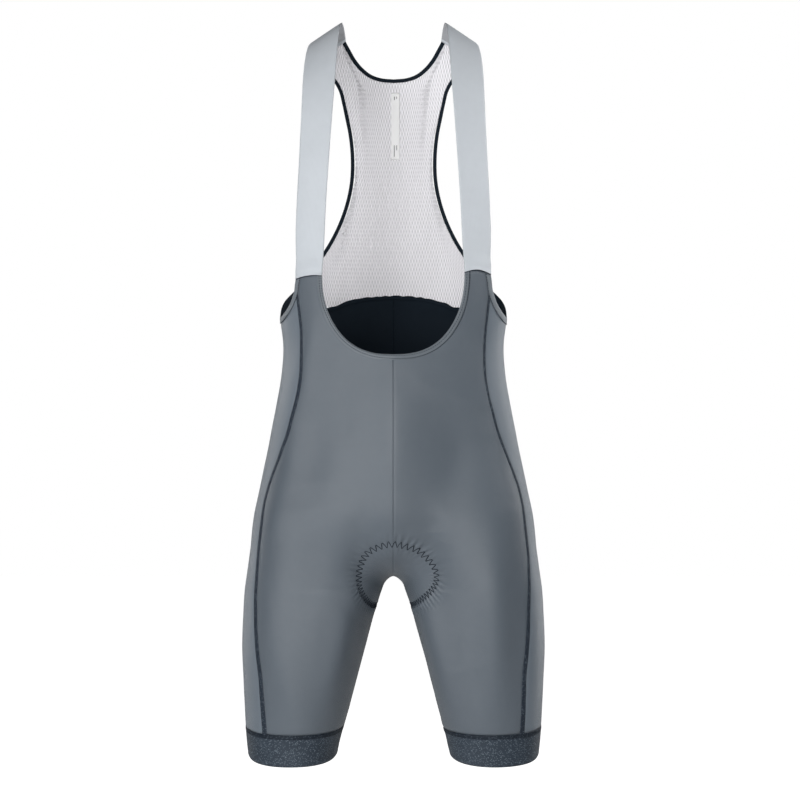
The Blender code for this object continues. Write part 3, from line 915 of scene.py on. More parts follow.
def finer(grid, times, row_corners=(), column_corners=(), column_times=None):
    """A grid cut into more rows and columns, with sharp corners kept at some of them."""
    column_times = times if column_times is None else column_times
    for corners, cut in ((row_corners, times), (column_corners, column_times)):
        cut = np.broadcast_to(cut, len(grid) - 1)
        cuts = [0, *corners, len(grid) - 1]
        runs = [finer_lines(grid[a:b + 1], cut[a:b]) for a, b in zip(cuts, cuts[1:])]
        grid = np.concatenate([runs[0], *[run[1:] for run in runs[1:]]])
        grid = grid.swapaxes(0, 1)
    return grid


def unit(vectors):
    """Vectors divided by their lengths."""
    return vectors / np.maximum(np.linalg.norm(vectors, axis=-1, keepdims=True), 1e-9)


def grid_normals(grid):
    """Unit normals of a grid: its row steps crossed with its column steps, turned outwards."""
    normal = unit(np.cross(np.gradient(grid, axis=0), np.gradient(grid, axis=1)))
    return normal * np.sign((normal * outward(grid)).sum())


def edge_gaps(grid):
    """Distances along the cloth from each point to the top, bottom, first and last edge."""
    down = np.linalg.norm(np.diff(grid, axis=0), axis=-1)
    across = np.linalg.norm(np.diff(grid, axis=1), axis=-1)
    top = np.concatenate([np.zeros((1, grid.shape[1])), np.cumsum(down, axis=0)])
    first = np.concatenate([np.zeros((grid.shape[0], 1)), np.cumsum(across, axis=1)], axis=1)
    return top, top[-1] - top, first, first[:, -1:] - first


def bell(distance, reach):
    """One at no distance, falling to nothing: e to the power minus (distance / reach) squared."""
    return np.exp(-(distance / reach) ** 2)


def soft_step(t):
    """Zero up to 0 and one from 1, with a smooth rise 3 t^2 - 2 t^3 between them."""
    t = np.clip(t, 0, 1)
    return t * t * (3 - 2 * t)


def as_worn(points):
    """Points moved by the creases, the right shoulder raised, the legs' openings raised at
    their sides and the inner edges of the legs set aside: bells times smooth steps."""
    x, y, z = np.moveaxis(points, -1, 0)
    share = soft_step((x - RAISED_FROM) / (RAISED_FULL - RAISED_FROM))
    rise_by = RAISED * share * bell(z - RAISED_HEIGHT, RAISED_REACH) * soft_step(-y / RAISED_FADE)
    rise_by += HEM_RISE * bell(y, HEM_RISE_REACH) * soft_step((HEM_RISE_FROM - z) / HEM_RISE_FADE)
    slide = np.where(x < 0, ARCH_SLIDES.read("left", z), ARCH_SLIDES.read("right", z))
    slide = slide * bell(abs(x) - ARCH_SLIDES.read("edge", z), ARCH_SLIDE_REACH)
    slide = slide * soft_step(abs(x) / ARCH_SLIDE_FULL)
    height = creases(points)
    moved = np.stack([slide, 0 * slide, rise_by], axis=-1)
    return points + height[..., None] * outward(points) + moved


def creases(points):
    """Height of the soft creases: a bell across each straight line, faded past its ends.

    The keel falls off as e to the power minus distance / width, with a rounded top, and
    the arch between the legs is drawn up by a bell in x.
    """
    x, y, z = np.moveaxis(points, -1, 0)
    here = np.stack([x, z], axis=-1)
    height = np.zeros_like(x)
    for x0, z0, x1, z1, wide, deep in CREASES:
        start = np.array([x0, z0], float)
        line = np.array([x1, z1], float) - start
        share = np.clip(((here - start) * line).sum(axis=-1) / (line @ line), 0, 1)
        away = np.linalg.norm(here - start - share[..., None] * line, axis=-1)
        share = np.clip(share, CREASE_ENDS, 1 - CREASE_ENDS)
        height += deep * bell(away, wide) * np.sin(np.pi * share) ** 0.5
    rounded = np.sqrt(x * x + RIDGE_ROUND ** 2) - RIDGE_ROUND
    height += RIDGE.read("high", z) * np.exp(-rounded / RIDGE_WIDE)
    height *= soft_step(-y / FRONT_FADE)
    peak = bell(x, ARCH_PEAK_WIDE) * soft_step((ARCH_PEAK_LEVEL - z) / ARCH_PEAK_FADE)
    return height - ARCH_PEAK * peak


def beside(points, path):
    """Distance from each point to a path, how far along it that is, and on which side.

    The side is plus or minus one: the sign of (point - path) . (direction x normal).
    """
    flat = points.reshape(-1, 3)
    away = np.full(len(flat), FAR_OFF)
    at = np.zeros(len(flat), int)
    low, high = path.min(axis=0) - NEAR_PATH, path.max(axis=0) + NEAR_PATH
    near = np.flatnonzero(((flat > low) & (flat < high)).all(axis=1))
    for part in np.array_split(near, max(1, len(near) // POINTS_AT_ONCE)):
        gap = np.linalg.norm(flat[part, None] - path[None], axis=-1)
        at[part] = gap.argmin(axis=1)
        away[part] = gap[np.arange(len(part)), at[part]]
    direction = np.gradient(path, axis=0)
    right = np.cross(direction, outward(path))
    side = np.sign(((flat - path[at]) * right[at]).sum(axis=-1))
    shape = points.shape[:-1]
    return away.reshape(shape), lengths(path)[at].reshape(shape), side.reshape(shape)


def zigzag_turns(along, total):
    """Turns of the zigzag up to distances along its loop: the integral of one over the pitch."""
    at = np.linspace(0, total, 2001)
    pitch = np.interp(np.minimum(at, total - at), (0, ZIGZAG_SIDES), ZIGZAG_PITCHES)
    turns = np.concatenate([[0], np.cumsum(np.diff(at) * 2 / (pitch[1:] + pitch[:-1]))])
    return np.interp(along, at, turns * round(turns[-1]) / turns[-1])


def pad_pull(points):
    """Height round the seat pad's stitching: a groove at the threads, small puckers a pitch
    apart beside it, and a soft swelling inside it."""
    away, along, side = beside(points, PAD_PATH)
    groove = -STITCH_DIP * bell(away, STITCH_REACH)
    wave = np.cos(2 * np.pi * zigzag_turns(along, PAD_LENGTH))
    strong = np.where(side == PAD_SIDE, PUCKER_INSIDE, 1.0)
    far = away / ZIGZAG_HALF
    pucker = PUCKER_HIGH * wave * strong * far ** 2 * np.exp(2 - 2 * far)
    swell = PAD_SHOWS * (1 - np.exp(-away / PAD_SHOWS_REACH)) * (side == PAD_SIDE)
    near = soft_step((PAD_PULL_REACH - away) / PAD_PULL_FADE)
    return (groove + pucker + swell * bell(away, PAD_PULL_REACH)) * near


def seam_pull(points, paths):
    """Height beside flatlock seams: a shallow dip along each of them."""
    height = np.zeros(points.shape[:-1])
    for path in paths:
        away, _, _ = beside(points, path)
        height -= FLATLOCK_DIP * bell(away, FLATLOCK_REACH)
    return height


def laid(grid, sewn, paths=(), padded=False):
    """A panel's grid on the figure, with its seams, creases and puckers.

    sewn says how deep the top, bottom, first and last edges dip into their seams.
    """
    grid = settle(grid)
    height = seam_pull(grid, paths)
    for gap, dip in zip(edge_gaps(grid), sewn):
        height -= dip * bell(gap, SEAM_REACH if dip > CENTRE_DIP else CENTRE_REACH)
    if padded:
        height += pad_pull(grid)
    return grid + height[..., None] * outward(grid)


def flipped(points):
    """The mirror image of points, on the other side."""
    return points * np.array([-1.0, 1.0, 1.0])


def to_right(points):
    """The left half's points on the right half, slid sideways near the side seam by a bell."""
    x, y, z = np.moveaxis(flipped(points), -1, 0)
    seam = -SIDE_SEAM.read("distance", z)
    slide = RIGHT_SLIDES.read("slide", z) * bell(x - seam, RIGHT_SLIDE_REACH)
    return np.stack([x + slide * soft_step(-y / FRONT_FADE), y, z], axis=-1)


def quad_corners(rows, columns):
    """Row and column of the four corners of each quad, for counts of spans, in order."""
    r, c = np.meshgrid(np.arange(rows), np.arange(columns), indexing="ij")
    return [(r, c), (r, c + 1), (r + 1, c + 1), (r + 1, c)]


def faces_in(points, quads):
    """Whether quads face into the figure: their crossed diagonals against its normals."""
    corner = points[quads]
    turn = np.cross(corner[:, 2] - corner[:, 0], corner[:, 3] - corner[:, 1])
    return (turn * outward(corner.mean(axis=1))).sum() < 0


def grid_mesh(name, grid, looks, closed=False, flat=None):
    """A mesh from rows and columns of points, with a UV map of real millimetres.

    U is the distance along the row and V the distance down the column, unless flat
    gives them.
    """
    rows, columns = grid.shape[:2]
    spans = columns if closed else columns - 1
    whole = np.concatenate([grid, grid[:, :1]], axis=1) if closed else grid
    top, _, first, _ = edge_gaps(whole)
    around = quad_corners(rows - 1, spans)
    quads = np.stack([a * columns + b % columns for a, b in around], axis=-1).reshape(-1, 4)
    corners = np.stack([a * (spans + 1) + b for a, b in around], axis=-1).reshape(-1, 4)
    points = grid.reshape(-1, 3)
    if faces_in(points, quads):
        quads, corners = quads[:, ::-1], corners[:, ::-1]
    flat = np.stack([first, top], axis=-1) if flat is None else flat
    return mesh_object(name, points, quads.tolist(), looks, flat.reshape(-1, 2)[corners])


def mesh_object(name, points, faces, looks, uv):
    """An object at the origin from points in millimetres, faces and places in the cloth."""
    mesh = bpy.data.meshes.new(name)
    mesh.from_pydata((as_worn(points) * METRES).tolist(), [], faces)
    for look in looks:
        mesh.materials.append(look)
    mesh.uv_layers.new(name="cloth").data.foreach_set("uv", uv.reshape(-1).astype(np.float32))
    mesh.shade_smooth()
    made = bpy.data.objects.new(name, mesh)
    bpy.context.scene.collection.objects.link(made)
    return made


def walled(made, wall):
    """Give a cloth surface its wall, inwards, with the second material on the inner face."""
    skin = made.modifiers.new("wall", "SOLIDIFY")
    skin.thickness = wall * METRES
    skin.offset = -1
    skin.material_offset = len(made.data.materials) - 1
    skin.material_offset_rim = len(made.data.materials) - 1
    return made


def rods(name, points, looks, loop=False):
    """Closed tubes from rings of points: points is tubes x rings x points round x 3.

    A tube has a cap at each end, or is joined end to end where loop is true. U is the
    distance round the tube and V the distance along it. The faces are turned over where
    the volume that they enclose comes out below 0.
    """
    tubes, rings, sides = points.shape[:3]
    spans = rings if loop else rings - 1
    t, s, k = np.meshgrid(np.arange(tubes), np.arange(spans), np.arange(sides), indexing="ij")
    around = [(s, k), (s, k + 1), (s + 1, k + 1), (s + 1, k)]
    quads = np.stack([(t * rings + a % rings) * sides + b % sides for a, b in around], axis=-1)
    quads = quads.reshape(-1, 4)
    flat = points.reshape(-1, 3)
    steps = np.linalg.norm(np.diff(points[0].mean(axis=1), axis=0), axis=-1)
    along = np.concatenate([[0], np.cumsum(steps), [steps.sum() + steps.mean()]])
    width = np.linalg.norm(points[0, 0] - np.roll(points[0, 0], -1, axis=0), axis=-1)
    across = np.concatenate([[0], np.cumsum(width)])
    uv = np.stack([np.stack([across[b], along[a]], axis=-1) for a, b in around], axis=-2)
    uv = uv.reshape(-1, 2)
    base = np.arange(sides)
    faces = quads.tolist()
    if not loop:
        for tube in range(tubes):
            start = tube * rings * sides
            end = start + (rings - 1) * sides
            faces.append((start + base[::-1]).tolist())
            faces.append((end + base).tolist())
        caps = np.tile(np.stack([across[:-1], 0 * across[:-1]], axis=-1), (2 * tubes, 1))
        uv = np.concatenate([uv, caps])
    made = mesh_object(name, flat, faces, looks, uv)
    corner = flat[quads] - flat.mean(axis=0)
    halves = [(corner[:, 0] * np.cross(corner[:, k], corner[:, k + 1])).sum() for k in (1, 2)]
    if sum(halves) < 0:
        made.data.flip_normals()
    return made


def frame_along(path, loop=False):
    """The unit normal of the figure and the unit side vector, normal x direction, on a path."""
    if loop:
        direction = np.roll(path, -1, axis=0) - np.roll(path, 1, axis=0)
    else:
        direction = np.gradient(path, axis=0)
    normal = outward(path)
    return normal, unit(np.cross(normal, direction))


def carried(path, profile, lift=0.0, loop=False):
    """A closed profile of (across, up) points carried along a path on the figure."""
    normal, side = frame_along(path, loop)
    profile = np.broadcast_to(profile, (len(path), *np.shape(profile)[-2:]))
    across = profile[..., :1] * side[:, None]
    up = (profile[..., 1:] + lift) * normal[:, None]
    return (path[:, None] + across + up)[None]


def even(path, step, loop=False):
    """A path cut into even steps of about the given length."""
    if loop:
        path = np.concatenate([path, path[:1]])
    count = max(2, int(round(lengths(path)[-1] / step)))
    cut = divide(path, count)
    return cut[:-1] if loop else cut


def oval(wide, high, count=14, power=2.6):
    """An oval profile: a superellipse of given width, height and roundness."""
    turn = np.arange(count) * 2 * np.pi / count
    c, s = np.cos(turn), np.sin(turn)
    return np.stack([
        wide / 2 * np.sign(c) * abs(c) ** (2 / power),
        high / 2 * np.sign(s) * abs(s) ** (2 / power),
    ], axis=-1)


def flatlock(name, path, look, wide=FLATLOCK_WIDE, over_pad=False):
    """A flat seam of threads: a low arched band with a ridge for each thread that crosses it.

    Height = arch x (1 - across^4) + a ridge |sin| of the distance along plus a slant. Over
    the pad it rides on the swelling, behind the crotch.
    """
    path = settle(even(path, FLATLOCK_STEP))
    if isinstance(wide, Table):
        wide = wide.read("width", path[:, 2:])
        if path[0, 0] > 0:
            wide = wide * RIGHT_SEAM_SHARES.read("share", path[:, 2:])
    along = lengths(path)[:, None]
    share = np.linspace(-1, 1, 9)[None]
    arch = FLATLOCK_HIGH * (1 - share ** 4)
    thread = abs(np.sin(np.pi * (along / 1.5 + 0.55 * abs(share * 2 - np.round(share)))))
    needle = bell(abs(share) - FLATLOCK_EDGE, FLATLOCK_EDGE_WIDE)
    top = arch * (0.55 + 0.45 * thread) + 0.25 * needle * abs(np.sin(np.pi * along / 2.6))
    top_points = np.stack([share * wide / 2 + 0 * along, top - 0.35], axis=-1)
    across = np.array([[0.45, 0, -0.45]]) * wide + 0 * along
    low = np.stack([across, 0 * across - 0.75], axis=-1)
    lift = 0 * path[:, 0]
    if over_pad:
        lift = pad_pull(path) * soft_step(path[:, 1] / SEAT_SEAM_RISES)
    profile = np.concatenate([top_points, low], axis=1)
    return rods(name, carried(path, profile, lift[:, None, None]), [look])


def thread_ring():
    """Cosines and sines of the points round a thread."""
    turn = np.arange(THREAD_SIDES) * 2 * np.pi / THREAD_SIDES
    return np.stack([np.cos(turn), np.sin(turn)], axis=-1)


def stitches(name, path, look, lift=0.0, pitch=STITCH_PITCH, long=STITCH_LONG,
             radius=STITCH_RADIUS):
    """A row of separate stitches: short rods that arch out of the cloth and back into it.

    Height = radius x (0.9 - 1.5 share^4), where share is -1 to 1 along a stitch.
    """
    path = even(path, STITCH_STEP)
    along = lengths(path)
    count = int(along[-1] / pitch)
    share, full = np.array(STITCH_SHAPE).T
    at = (np.arange(count)[:, None] + 0.5) * along[-1] / count + share * long / 2
    centre = np.stack([np.interp(at, along, c) for c in path.T], axis=-1)
    normal = outward(centre)
    direction = unit(np.gradient(centre, axis=1))
    side = unit(np.cross(normal, direction))
    arch = (lift + radius * (0.9 - 1.5 * share ** 4))[None, :, None]
    thick = radius * full[None, :, None, None]
    up, across = thread_ring().T[..., None]
    round_it = up * normal[:, :, None] + across * side[:, :, None]
    return rods(name, (centre + arch * normal)[:, :, None] + thick * round_it, [look])


def zigzag(name, path, look):
    """One thread that swings from side to side of a loop: a triangle wave across it."""
    closed = np.concatenate([path, path[:1]])
    along = lengths(closed)
    turns = zigzag_turns(along, along[-1])
    count = int(round(turns[-1])) * ZIGZAG_STEPS
    at = np.interp(np.arange(count) / ZIGZAG_STEPS, turns, along)
    line = settle(np.stack([np.interp(at, along, c) for c in closed.T], axis=-1))
    wave = np.arange(count) / ZIGZAG_STEPS
    swing = np.arcsin(ZIGZAG_SHARP * np.sin(2 * np.pi * wave)) * 2 / np.pi * ZIGZAG_HALF
    _, side = frame_along(line, loop=True)
    line = settle(line + swing[:, None] * side)
    lift = pad_pull(line) + 0.2 * ZIGZAG_RADIUS
    profile = ZIGZAG_RADIUS * thread_ring()
    profile = profile[None] + np.stack([0 * lift, lift], axis=-1)[:, None]
    return rods(name, carried(line, profile, loop=True), [look], loop=True)


def pad_lines():
    """The half seat pad's lines of points, each a fixed share of its width off the middle."""
    front = rise(-1, PAD_FRONT_TOP, PAD_SEAM_POINTS)
    back = rise(1, PAD_BACK_TOP, PAD_SEAM_POINTS)
    line = np.concatenate([front, back[::-1][1:]])
    along = lengths(line) - lengths(front)[-1]
    rows = PAD_EDGE.rows[:, 0]
    stations = np.linspace(rows[0], rows[-1], PAD_ROWS + 1)
    centre = np.stack([np.interp(stations, along, c) for c in line.T], axis=-1)
    step = (PAD_EDGE.read("half_width", stations) / PAD_COLUMNS)[:, None]
    lines = [settle(centre)]
    ahead = np.gradient(lines[0], axis=0)
    for _ in range(PAD_COLUMNS):
        side = np.cross(ahead, outward(lines[-1]))
        side = unit(side * np.sign(-side[:, :1]))
        lines.append(settle(lines[-1] + side * step))
    return stations, np.stack(lines, axis=1)


def pad_stitch_path():
    """The closed line of the zigzag: across the front as it shows, and behind along the pad."""
    stations, lines = pad_lines()
    shown = np.array(PAD_STITCH, float)
    left = facing(shown[:, [0, 2]], -1)
    right = facing(shown[:, [1, 2]], -1)
    edge = lines[stations > PAD_STITCH_BEHIND, -1]
    end = lines[-1, ::-1][1:]
    behind = np.concatenate([edge, end])
    path = np.concatenate([left, behind, flipped(behind)[::-1][1:], right[::-1][:-1]])
    path = spread(np.concatenate([path, path[:1]]), 900)[:-1]
    return settle(path)


def shared_seams():
    """The seam lines and the seam grids of the left half, as the solids have them."""
    strap = strap_grid()
    belly = facing([BELLY], -1)[0]
    spine = facing([SPINE], 1)[0]
    neck_points = np.concatenate([strap[0, :1], facing(NECKLINE, -1)])
    neckline = settle(spread(neck_points, OUTLINE_POINTS))
    armhole_points = np.concatenate([strap[0, -1:], around(ARMHOLE), strap[-1, -1:]])
    armhole = settle(spread(armhole_points, OUTLINE_POINTS))
    back_neck_points = np.concatenate([strap[-1, :1], facing(BACK_NECK, 1)])
    back_neck = settle(spread(back_neck_points, OUTLINE_POINTS))
    join = nearest(armhole, around([JUNCTION])[0])

    neck_edge = spread(inset(neckline, BINDING_WIDE, belly), NECK_ROWS)
    neck_edge[-1, 0] = 0
    back_neck_edge = spread(inset(back_neck, BINDING_WIDE, spine), MESH_NECK_COLUMNS)
    back_neck_edge[-1, 0] = 0
    arm_low = inset(armhole[:join + 1], BINDING_WIDE, belly)
    arm_high = spread(inset(armhole[join:], BINDING_WIDE, spine), MESH_ROWS)
    seam_start = facing([(SIDE_SEAM.rows[-1, 1], SIDE_SEAM.rows[-1, 0])], -1)[0]
    cut = nearest(arm_low, seam_start)
    horn = spread(arm_low[:cut + 1], HORN_ROWS)
    under_arm = spread(np.concatenate([arm_low[cut:-1], arm_high[:1]]), ARM_COLUMNS)

    seam = side_seam(horn[-1])
    legs = inseam(LEG_ROWS)
    strap_front = np.concatenate([neck_edge[:1], strap[0, 1:-1], horn[:1]])
    waist = np.concatenate([arm_high[:1], facing(WAIST_SEAM, 1)])
    waist = settle(spread(waist, MESH_STRAP_COLUMNS + MESH_NECK_COLUMNS))
    strap_back = np.concatenate([arm_high[-1:], strap[-1, 1:-1][::-1], back_neck_edge[:1]])
    return {
        "strap": strap,
        "front": front_grid(strap_front, neck_edge, horn, seam, legs),
        "side_back": side_back_grid(np.concatenate([under_arm, waist[1:]]), seam, legs),
        "net": mesh_grid(waist, arm_high[::-1], strap_back, back_neck_edge),
        "neck": neck_edge,
        "back_neck": back_neck_edge,
        "arm_low": np.concatenate([horn, under_arm[1:]]),
        "arm_high": arm_high,
        "seam": seam,
        "legs": legs,
        "waist": waist,
    }


def node(tree, kind, inputs=None, **settings):
    """A shader node with its settings, and its inputs given as values or as other sockets."""
    made = tree.nodes.new(kind)
    for key, value in settings.items():
        setattr(made, key, value)
    for key, value in (inputs or {}).items():
        if isinstance(value, bpy.types.NodeSocket):
            tree.links.new(value, made.inputs[key])
        else:
            made.inputs[key].default_value = value
    return made


def maths(tree, operation, first, second=0.0):
    """The output of a Math node."""
    return node(tree, "ShaderNodeMath", {0: first, 1: second}, operation=operation).outputs[0]


def weighed(tree, first, share, second, rest):
    """The output first x share + second x rest."""
    parts = maths(tree, "MULTIPLY", first, share), maths(tree, "MULTIPLY", second, rest)
    return maths(tree, "ADD", *parts)


def effect(name, inputs, outputs):
    """An empty shader node group with named float inputs, a Vector input and float outputs."""
    tree = bpy.data.node_groups.new(name, "ShaderNodeTree")
    tree.interface.new_socket("Vector", in_out="INPUT", socket_type="NodeSocketVector")
    for title, value in inputs.items():
        socket = tree.interface.new_socket(title, in_out="INPUT", socket_type="NodeSocketFloat")
        socket.default_value = value
    for title in outputs:
        tree.interface.new_socket(title, in_out="OUTPUT", socket_type="NodeSocketFloat")
    start = tree.nodes.new("NodeGroupInput")
    end = tree.nodes.new("NodeGroupOutput")
    return tree, start.outputs, end.inputs


def rib_effect():
    """Knit loops: |sin| of U over the rib's pitch, times half of 1 + |sin| of V over the
    loop's, which leans towards the rib's middle."""
    tree, given, out = effect("knit ribs", {"Across": 1.0, "Along": 1.0}, ["Height"])
    split = node(tree, "ShaderNodeSeparateXYZ", {0: given["Vector"]}).outputs
    u = maths(tree, "DIVIDE", split[0], given["Across"])
    rib = maths(tree, "ABSOLUTE", maths(tree, "SINE", maths(tree, "MULTIPLY", u, math.pi)))
    v = maths(tree, "DIVIDE", split[1], given["Along"])
    lean = maths(tree, "ADD", v, maths(tree, "MULTIPLY", rib, 0.45))
    loop = maths(tree, "ABSOLUTE", maths(tree, "SINE", maths(tree, "MULTIPLY", lean, math.pi)))
    loops = maths(tree, "ADD", maths(tree, "MULTIPLY", loop, 0.5), 0.5)
    tree.links.new(maths(tree, "MULTIPLY", rib, loops), out["Height"])
    return tree


def net_effect():
    """Dashes of the net, set like bricks: half of 1 + cos(U) x cos(V), over their pitches."""
    tree, given, out = effect("net dashes", {"Across": 1.0, "Along": 1.0}, ["Height"])
    split = node(tree, "ShaderNodeSeparateXYZ", {0: given["Vector"]}).outputs
    waves = []
    for place, pitch in ((split[0], "Across"), (split[1], "Along")):
        turns = maths(tree, "MULTIPLY", maths(tree, "DIVIDE", place, given[pitch]), 2 * math.pi)
        waves.append(maths(tree, "COSINE", turns))
    half = maths(tree, "MULTIPLY", maths(tree, "MULTIPLY", *waves), 0.5)
    tree.links.new(maths(tree, "ADD", half, 0.5), out["Height"])
    return tree


def cloud_effect():
    """Uneven dye and handling: two sizes of noise, from 0 to 1, with the middle at 0.5."""
    tree, given, out = effect("uneven dye", {"Large": 12.0, "Small": 120.0}, ["Factor"])
    parts = []
    for size, detail in (("Large", 2.0), ("Small", 3.0)):
        noise = node(tree, "ShaderNodeTexNoise", {
            "Vector": given["Vector"], "Scale": given[size], "Detail": detail, "Roughness": 0.5,
        })
        parts.append(noise.outputs["Fac"])
    tree.links.new(weighed(tree, parts[0], 0.6, parts[1], 0.4), out["Factor"])
    return tree


def speck_effect():
    """Small flecks: places nearer than a given size to a Voronoi cell's point, in about half
    of the cells."""
    tree, given, out = effect("flecks", {"Pitch": 1.0, "Size": 0.3}, ["Mask"])
    scale = maths(tree, "DIVIDE", 1.0, given["Pitch"])
    cell = node(tree, "ShaderNodeTexVoronoi", {"Vector": given["Vector"], "Scale": scale})
    inside = maths(tree, "LESS_THAN", cell.outputs["Distance"], given["Size"])
    chance = node(tree, "ShaderNodeSeparateColor", {0: cell.outputs["Color"]}).outputs[0]
    lit = maths(tree, "GREATER_THAN", chance, 0.55)
    tree.links.new(maths(tree, "MULTIPLY", inside, lit), out["Mask"])
    return tree


def start_material(name):
    """A new material with its node tree, its Principled shader, and UV and Object coordinates."""
    made = bpy.data.materials.new(name)
    made.use_nodes = True
    tree = made.node_tree
    shader = tree.nodes["Principled BSDF"]
    uv = node(tree, "ShaderNodeUVMap", uv_map="cloth").outputs["UV"]
    place = node(tree, "ShaderNodeTexCoord").outputs["Object"]
    return made, tree, shader, uv, place


def place_effect(tree, group, vector, **values):
    """The outputs of an effect placed in a material with its own values."""
    made = node(tree, "ShaderNodeGroup", node_tree=group)
    tree.links.new(vector, made.inputs["Vector"])
    for title, value in values.items():
        made.inputs[title].default_value = value
    return made.outputs


# The Mix node's factor and its two colours, as a colour mix numbers them
MIX_SOCKETS = (0, 6, 7)


def mix_colors(tree, factor, first, second):
    """A colour between two colours or colour sockets."""
    values = [(*v, 1) if isinstance(v, tuple) else v for v in (factor, first, second)]
    made = node(tree, "ShaderNodeMix", dict(zip(MIX_SOCKETS, values)), data_type="RGBA")
    return made.outputs[2]


def bump(tree, shader, height, distance):
    """Relief from a height socket, in millimetres."""
    made = node(tree, "ShaderNodeBump", {
        "Height": height, "Distance": distance * METRES, "Strength": 1.0,
    })
    tree.links.new(made.outputs["Normal"], shader.inputs["Normal"])


def knit_material(name, dark, light, roughness, across=0.9, along=0.7, deep=0.1, specular=0.5):
    """Stretch knit: its loops in relief, its colour between two shades by loop and by dye."""
    made, tree, shader, uv, place = start_material(name)
    height = place_effect(tree, RIBS, uv, Across=across, Along=along)["Height"]
    cloud = place_effect(tree, CLOUD, place)["Factor"]
    factor = weighed(tree, cloud, 0.7, height, 0.3)
    tree.links.new(mix_colors(tree, factor, dark, light), shader.inputs["Base Color"])
    shader.inputs["Roughness"].default_value = roughness
    shader.inputs["Specular IOR Level"].default_value = specular
    bump(tree, shader, height, deep)
    return made


def net_material(name, dark, light):
    """The back's net: fine threads in relief, darker and partly see-through at its dashes."""
    made, tree, shader, uv, place = start_material(name)
    height = place_effect(tree, NET, uv, Across=NET_ACROSS, Along=NET_ALONG)["Height"]
    cloud = place_effect(tree, CLOUD, place)["Factor"]
    threads = place_effect(tree, RIBS, uv, Across=0.9, Along=1.3)["Height"]
    factor = weighed(tree, height, 0.75, cloud, 0.25)
    tree.links.new(mix_colors(tree, factor, dark, light), shader.inputs["Base Color"])
    shader.inputs["Roughness"].default_value = 0.8
    bump(tree, shader, threads, 0.1)
    mask = maths(tree, "MULTIPLY", maths(tree, "SUBTRACT", 1.0, height), NET_OPEN)
    tree.links.new(maths(tree, "SUBTRACT", 1.0, mask), shader.inputs["Alpha"])
    return made


def band_material(name, dark, light, fleck):
    """Gripper elastic: fine cords round the leg with small bright flecks."""
    made, tree, shader, uv, place = start_material(name)
    height = place_effect(tree, RIBS, uv, Across=1.3, Along=1.1)["Height"]
    cloud = place_effect(tree, CLOUD, place, Large=30.0, Small=400.0)["Factor"]
    base = mix_colors(tree, cloud, dark, light)
    mask = place_effect(tree, SPECK, uv, Pitch=1.3, Size=0.42)["Mask"]
    tree.links.new(mix_colors(tree, mask, base, fleck), shader.inputs["Base Color"])
    shader.inputs["Roughness"].default_value = 0.55
    shader.inputs["Specular IOR Level"].default_value = 0.2
    bump(tree, shader, height, 0.12)
    return made


def tape_material(name, dark, light, wide):
    """Folded tape: its colour and relief run in fine cords along it, lighter in its middle."""
    made, tree, shader, uv, _ = start_material(name)
    height = place_effect(tree, RIBS, uv, Across=0.8, Along=0.9)["Height"]
    u = node(tree, "ShaderNodeSeparateXYZ", {0: uv}).outputs[0]
    off = maths(tree, "ABSOLUTE", maths(tree, "SUBTRACT", u, wide))
    middle = maths(tree, "LESS_THAN", off, 0.9)
    factor = weighed(tree, middle, 0.6, height, 0.3)
    tree.links.new(mix_colors(tree, factor, dark, light), shader.inputs["Base Color"])
    shader.inputs["Roughness"].default_value = 0.6
    bump(tree, shader, height, 0.12)
    return made


def thread_material(name, color, fleck=None):
    """Thread: fine twist lines in relief, a little unevenness of colour, and lit flecks."""
    made, tree, shader, uv, place = start_material(name)
    height = place_effect(tree, RIBS, uv, Across=0.5, Along=0.6)["Height"]
    cloud = place_effect(tree, CLOUD, place, Large=60.0, Small=600.0)["Factor"]
    dark, light = (tuple(share * c for c in color) for share in THREAD_SHADES)
    shade = mix_colors(tree, cloud, dark, light)
    if fleck:
        mask = place_effect(tree, SPECK, place, Pitch=1.7 * METRES, Size=0.45)["Mask"]
        shade = mix_colors(tree, mask, shade, fleck)
    tree.links.new(shade, shader.inputs["Base Color"])
    shader.inputs["Roughness"].default_value = 0.6
    shader.inputs["Specular IOR Level"].default_value = 0.2
    bump(tree, shader, height, 0.05)
    return made


def own(made, stands_for=()):
    """Let a piece ride on the garment and stand for its solids, which are hidden."""
    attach(made, "root")
    if stands_for:
        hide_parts(*stands_for)


RIBS = rib_effect()
NET = net_effect()
CLOUD = cloud_effect()
SPECK = speck_effect()

# Lights and darks of a thread, as shares of its colour
THREAD_SHADES = (0.7, 1.35)
MAIN = knit_material("main knit cloth", (0.081, 0.098, 0.117), (0.109, 0.128, 0.150), 0.36,
                     specular=0.35)
# The side and back panels' knit: the main knit painted lighter, for the light that falls on the
# sides
SIDE_LIT_KNIT = knit_material("side knit cloth painted lighter for light", (0.113, 0.137, 0.163), (0.150, 0.177, 0.208), 0.36,
                     specular=0.35)
# The knit's inner face, near black: a dark inner face with the shade inside the garment painted
# into it
INNER = knit_material("inner face of the knit with painted shade", (0.003, 0.007, 0.012), (0.008, 0.014, 0.022), 0.7,
                      specular=0.1)
STRAP = knit_material("strap elastic cloth", (0.435, 0.463, 0.494), (0.534, 0.569, 0.608), 0.6,
                      across=1.6, along=0.8, deep=0.12)
# The straps' inner face: the strap elastic painted darker, for the shade it lies in
STRAP_INSIDE_SHADED = knit_material("inner face of the straps painted darker for shade", (0.30, 0.31, 0.33), (0.38, 0.39, 0.41),
                             0.7)
NET_CLOTH = net_material("back net cloth", (0.72, 0.71, 0.745), (0.92, 0.91, 0.94))
BAND = band_material("gripper cloth", (0.014, 0.021, 0.032), (0.043, 0.057, 0.075),
                     (0.105, 0.132, 0.160))
TAPE = tape_material("dark tape", (0.004, 0.006, 0.007), (0.031, 0.035, 0.038), 3.0)
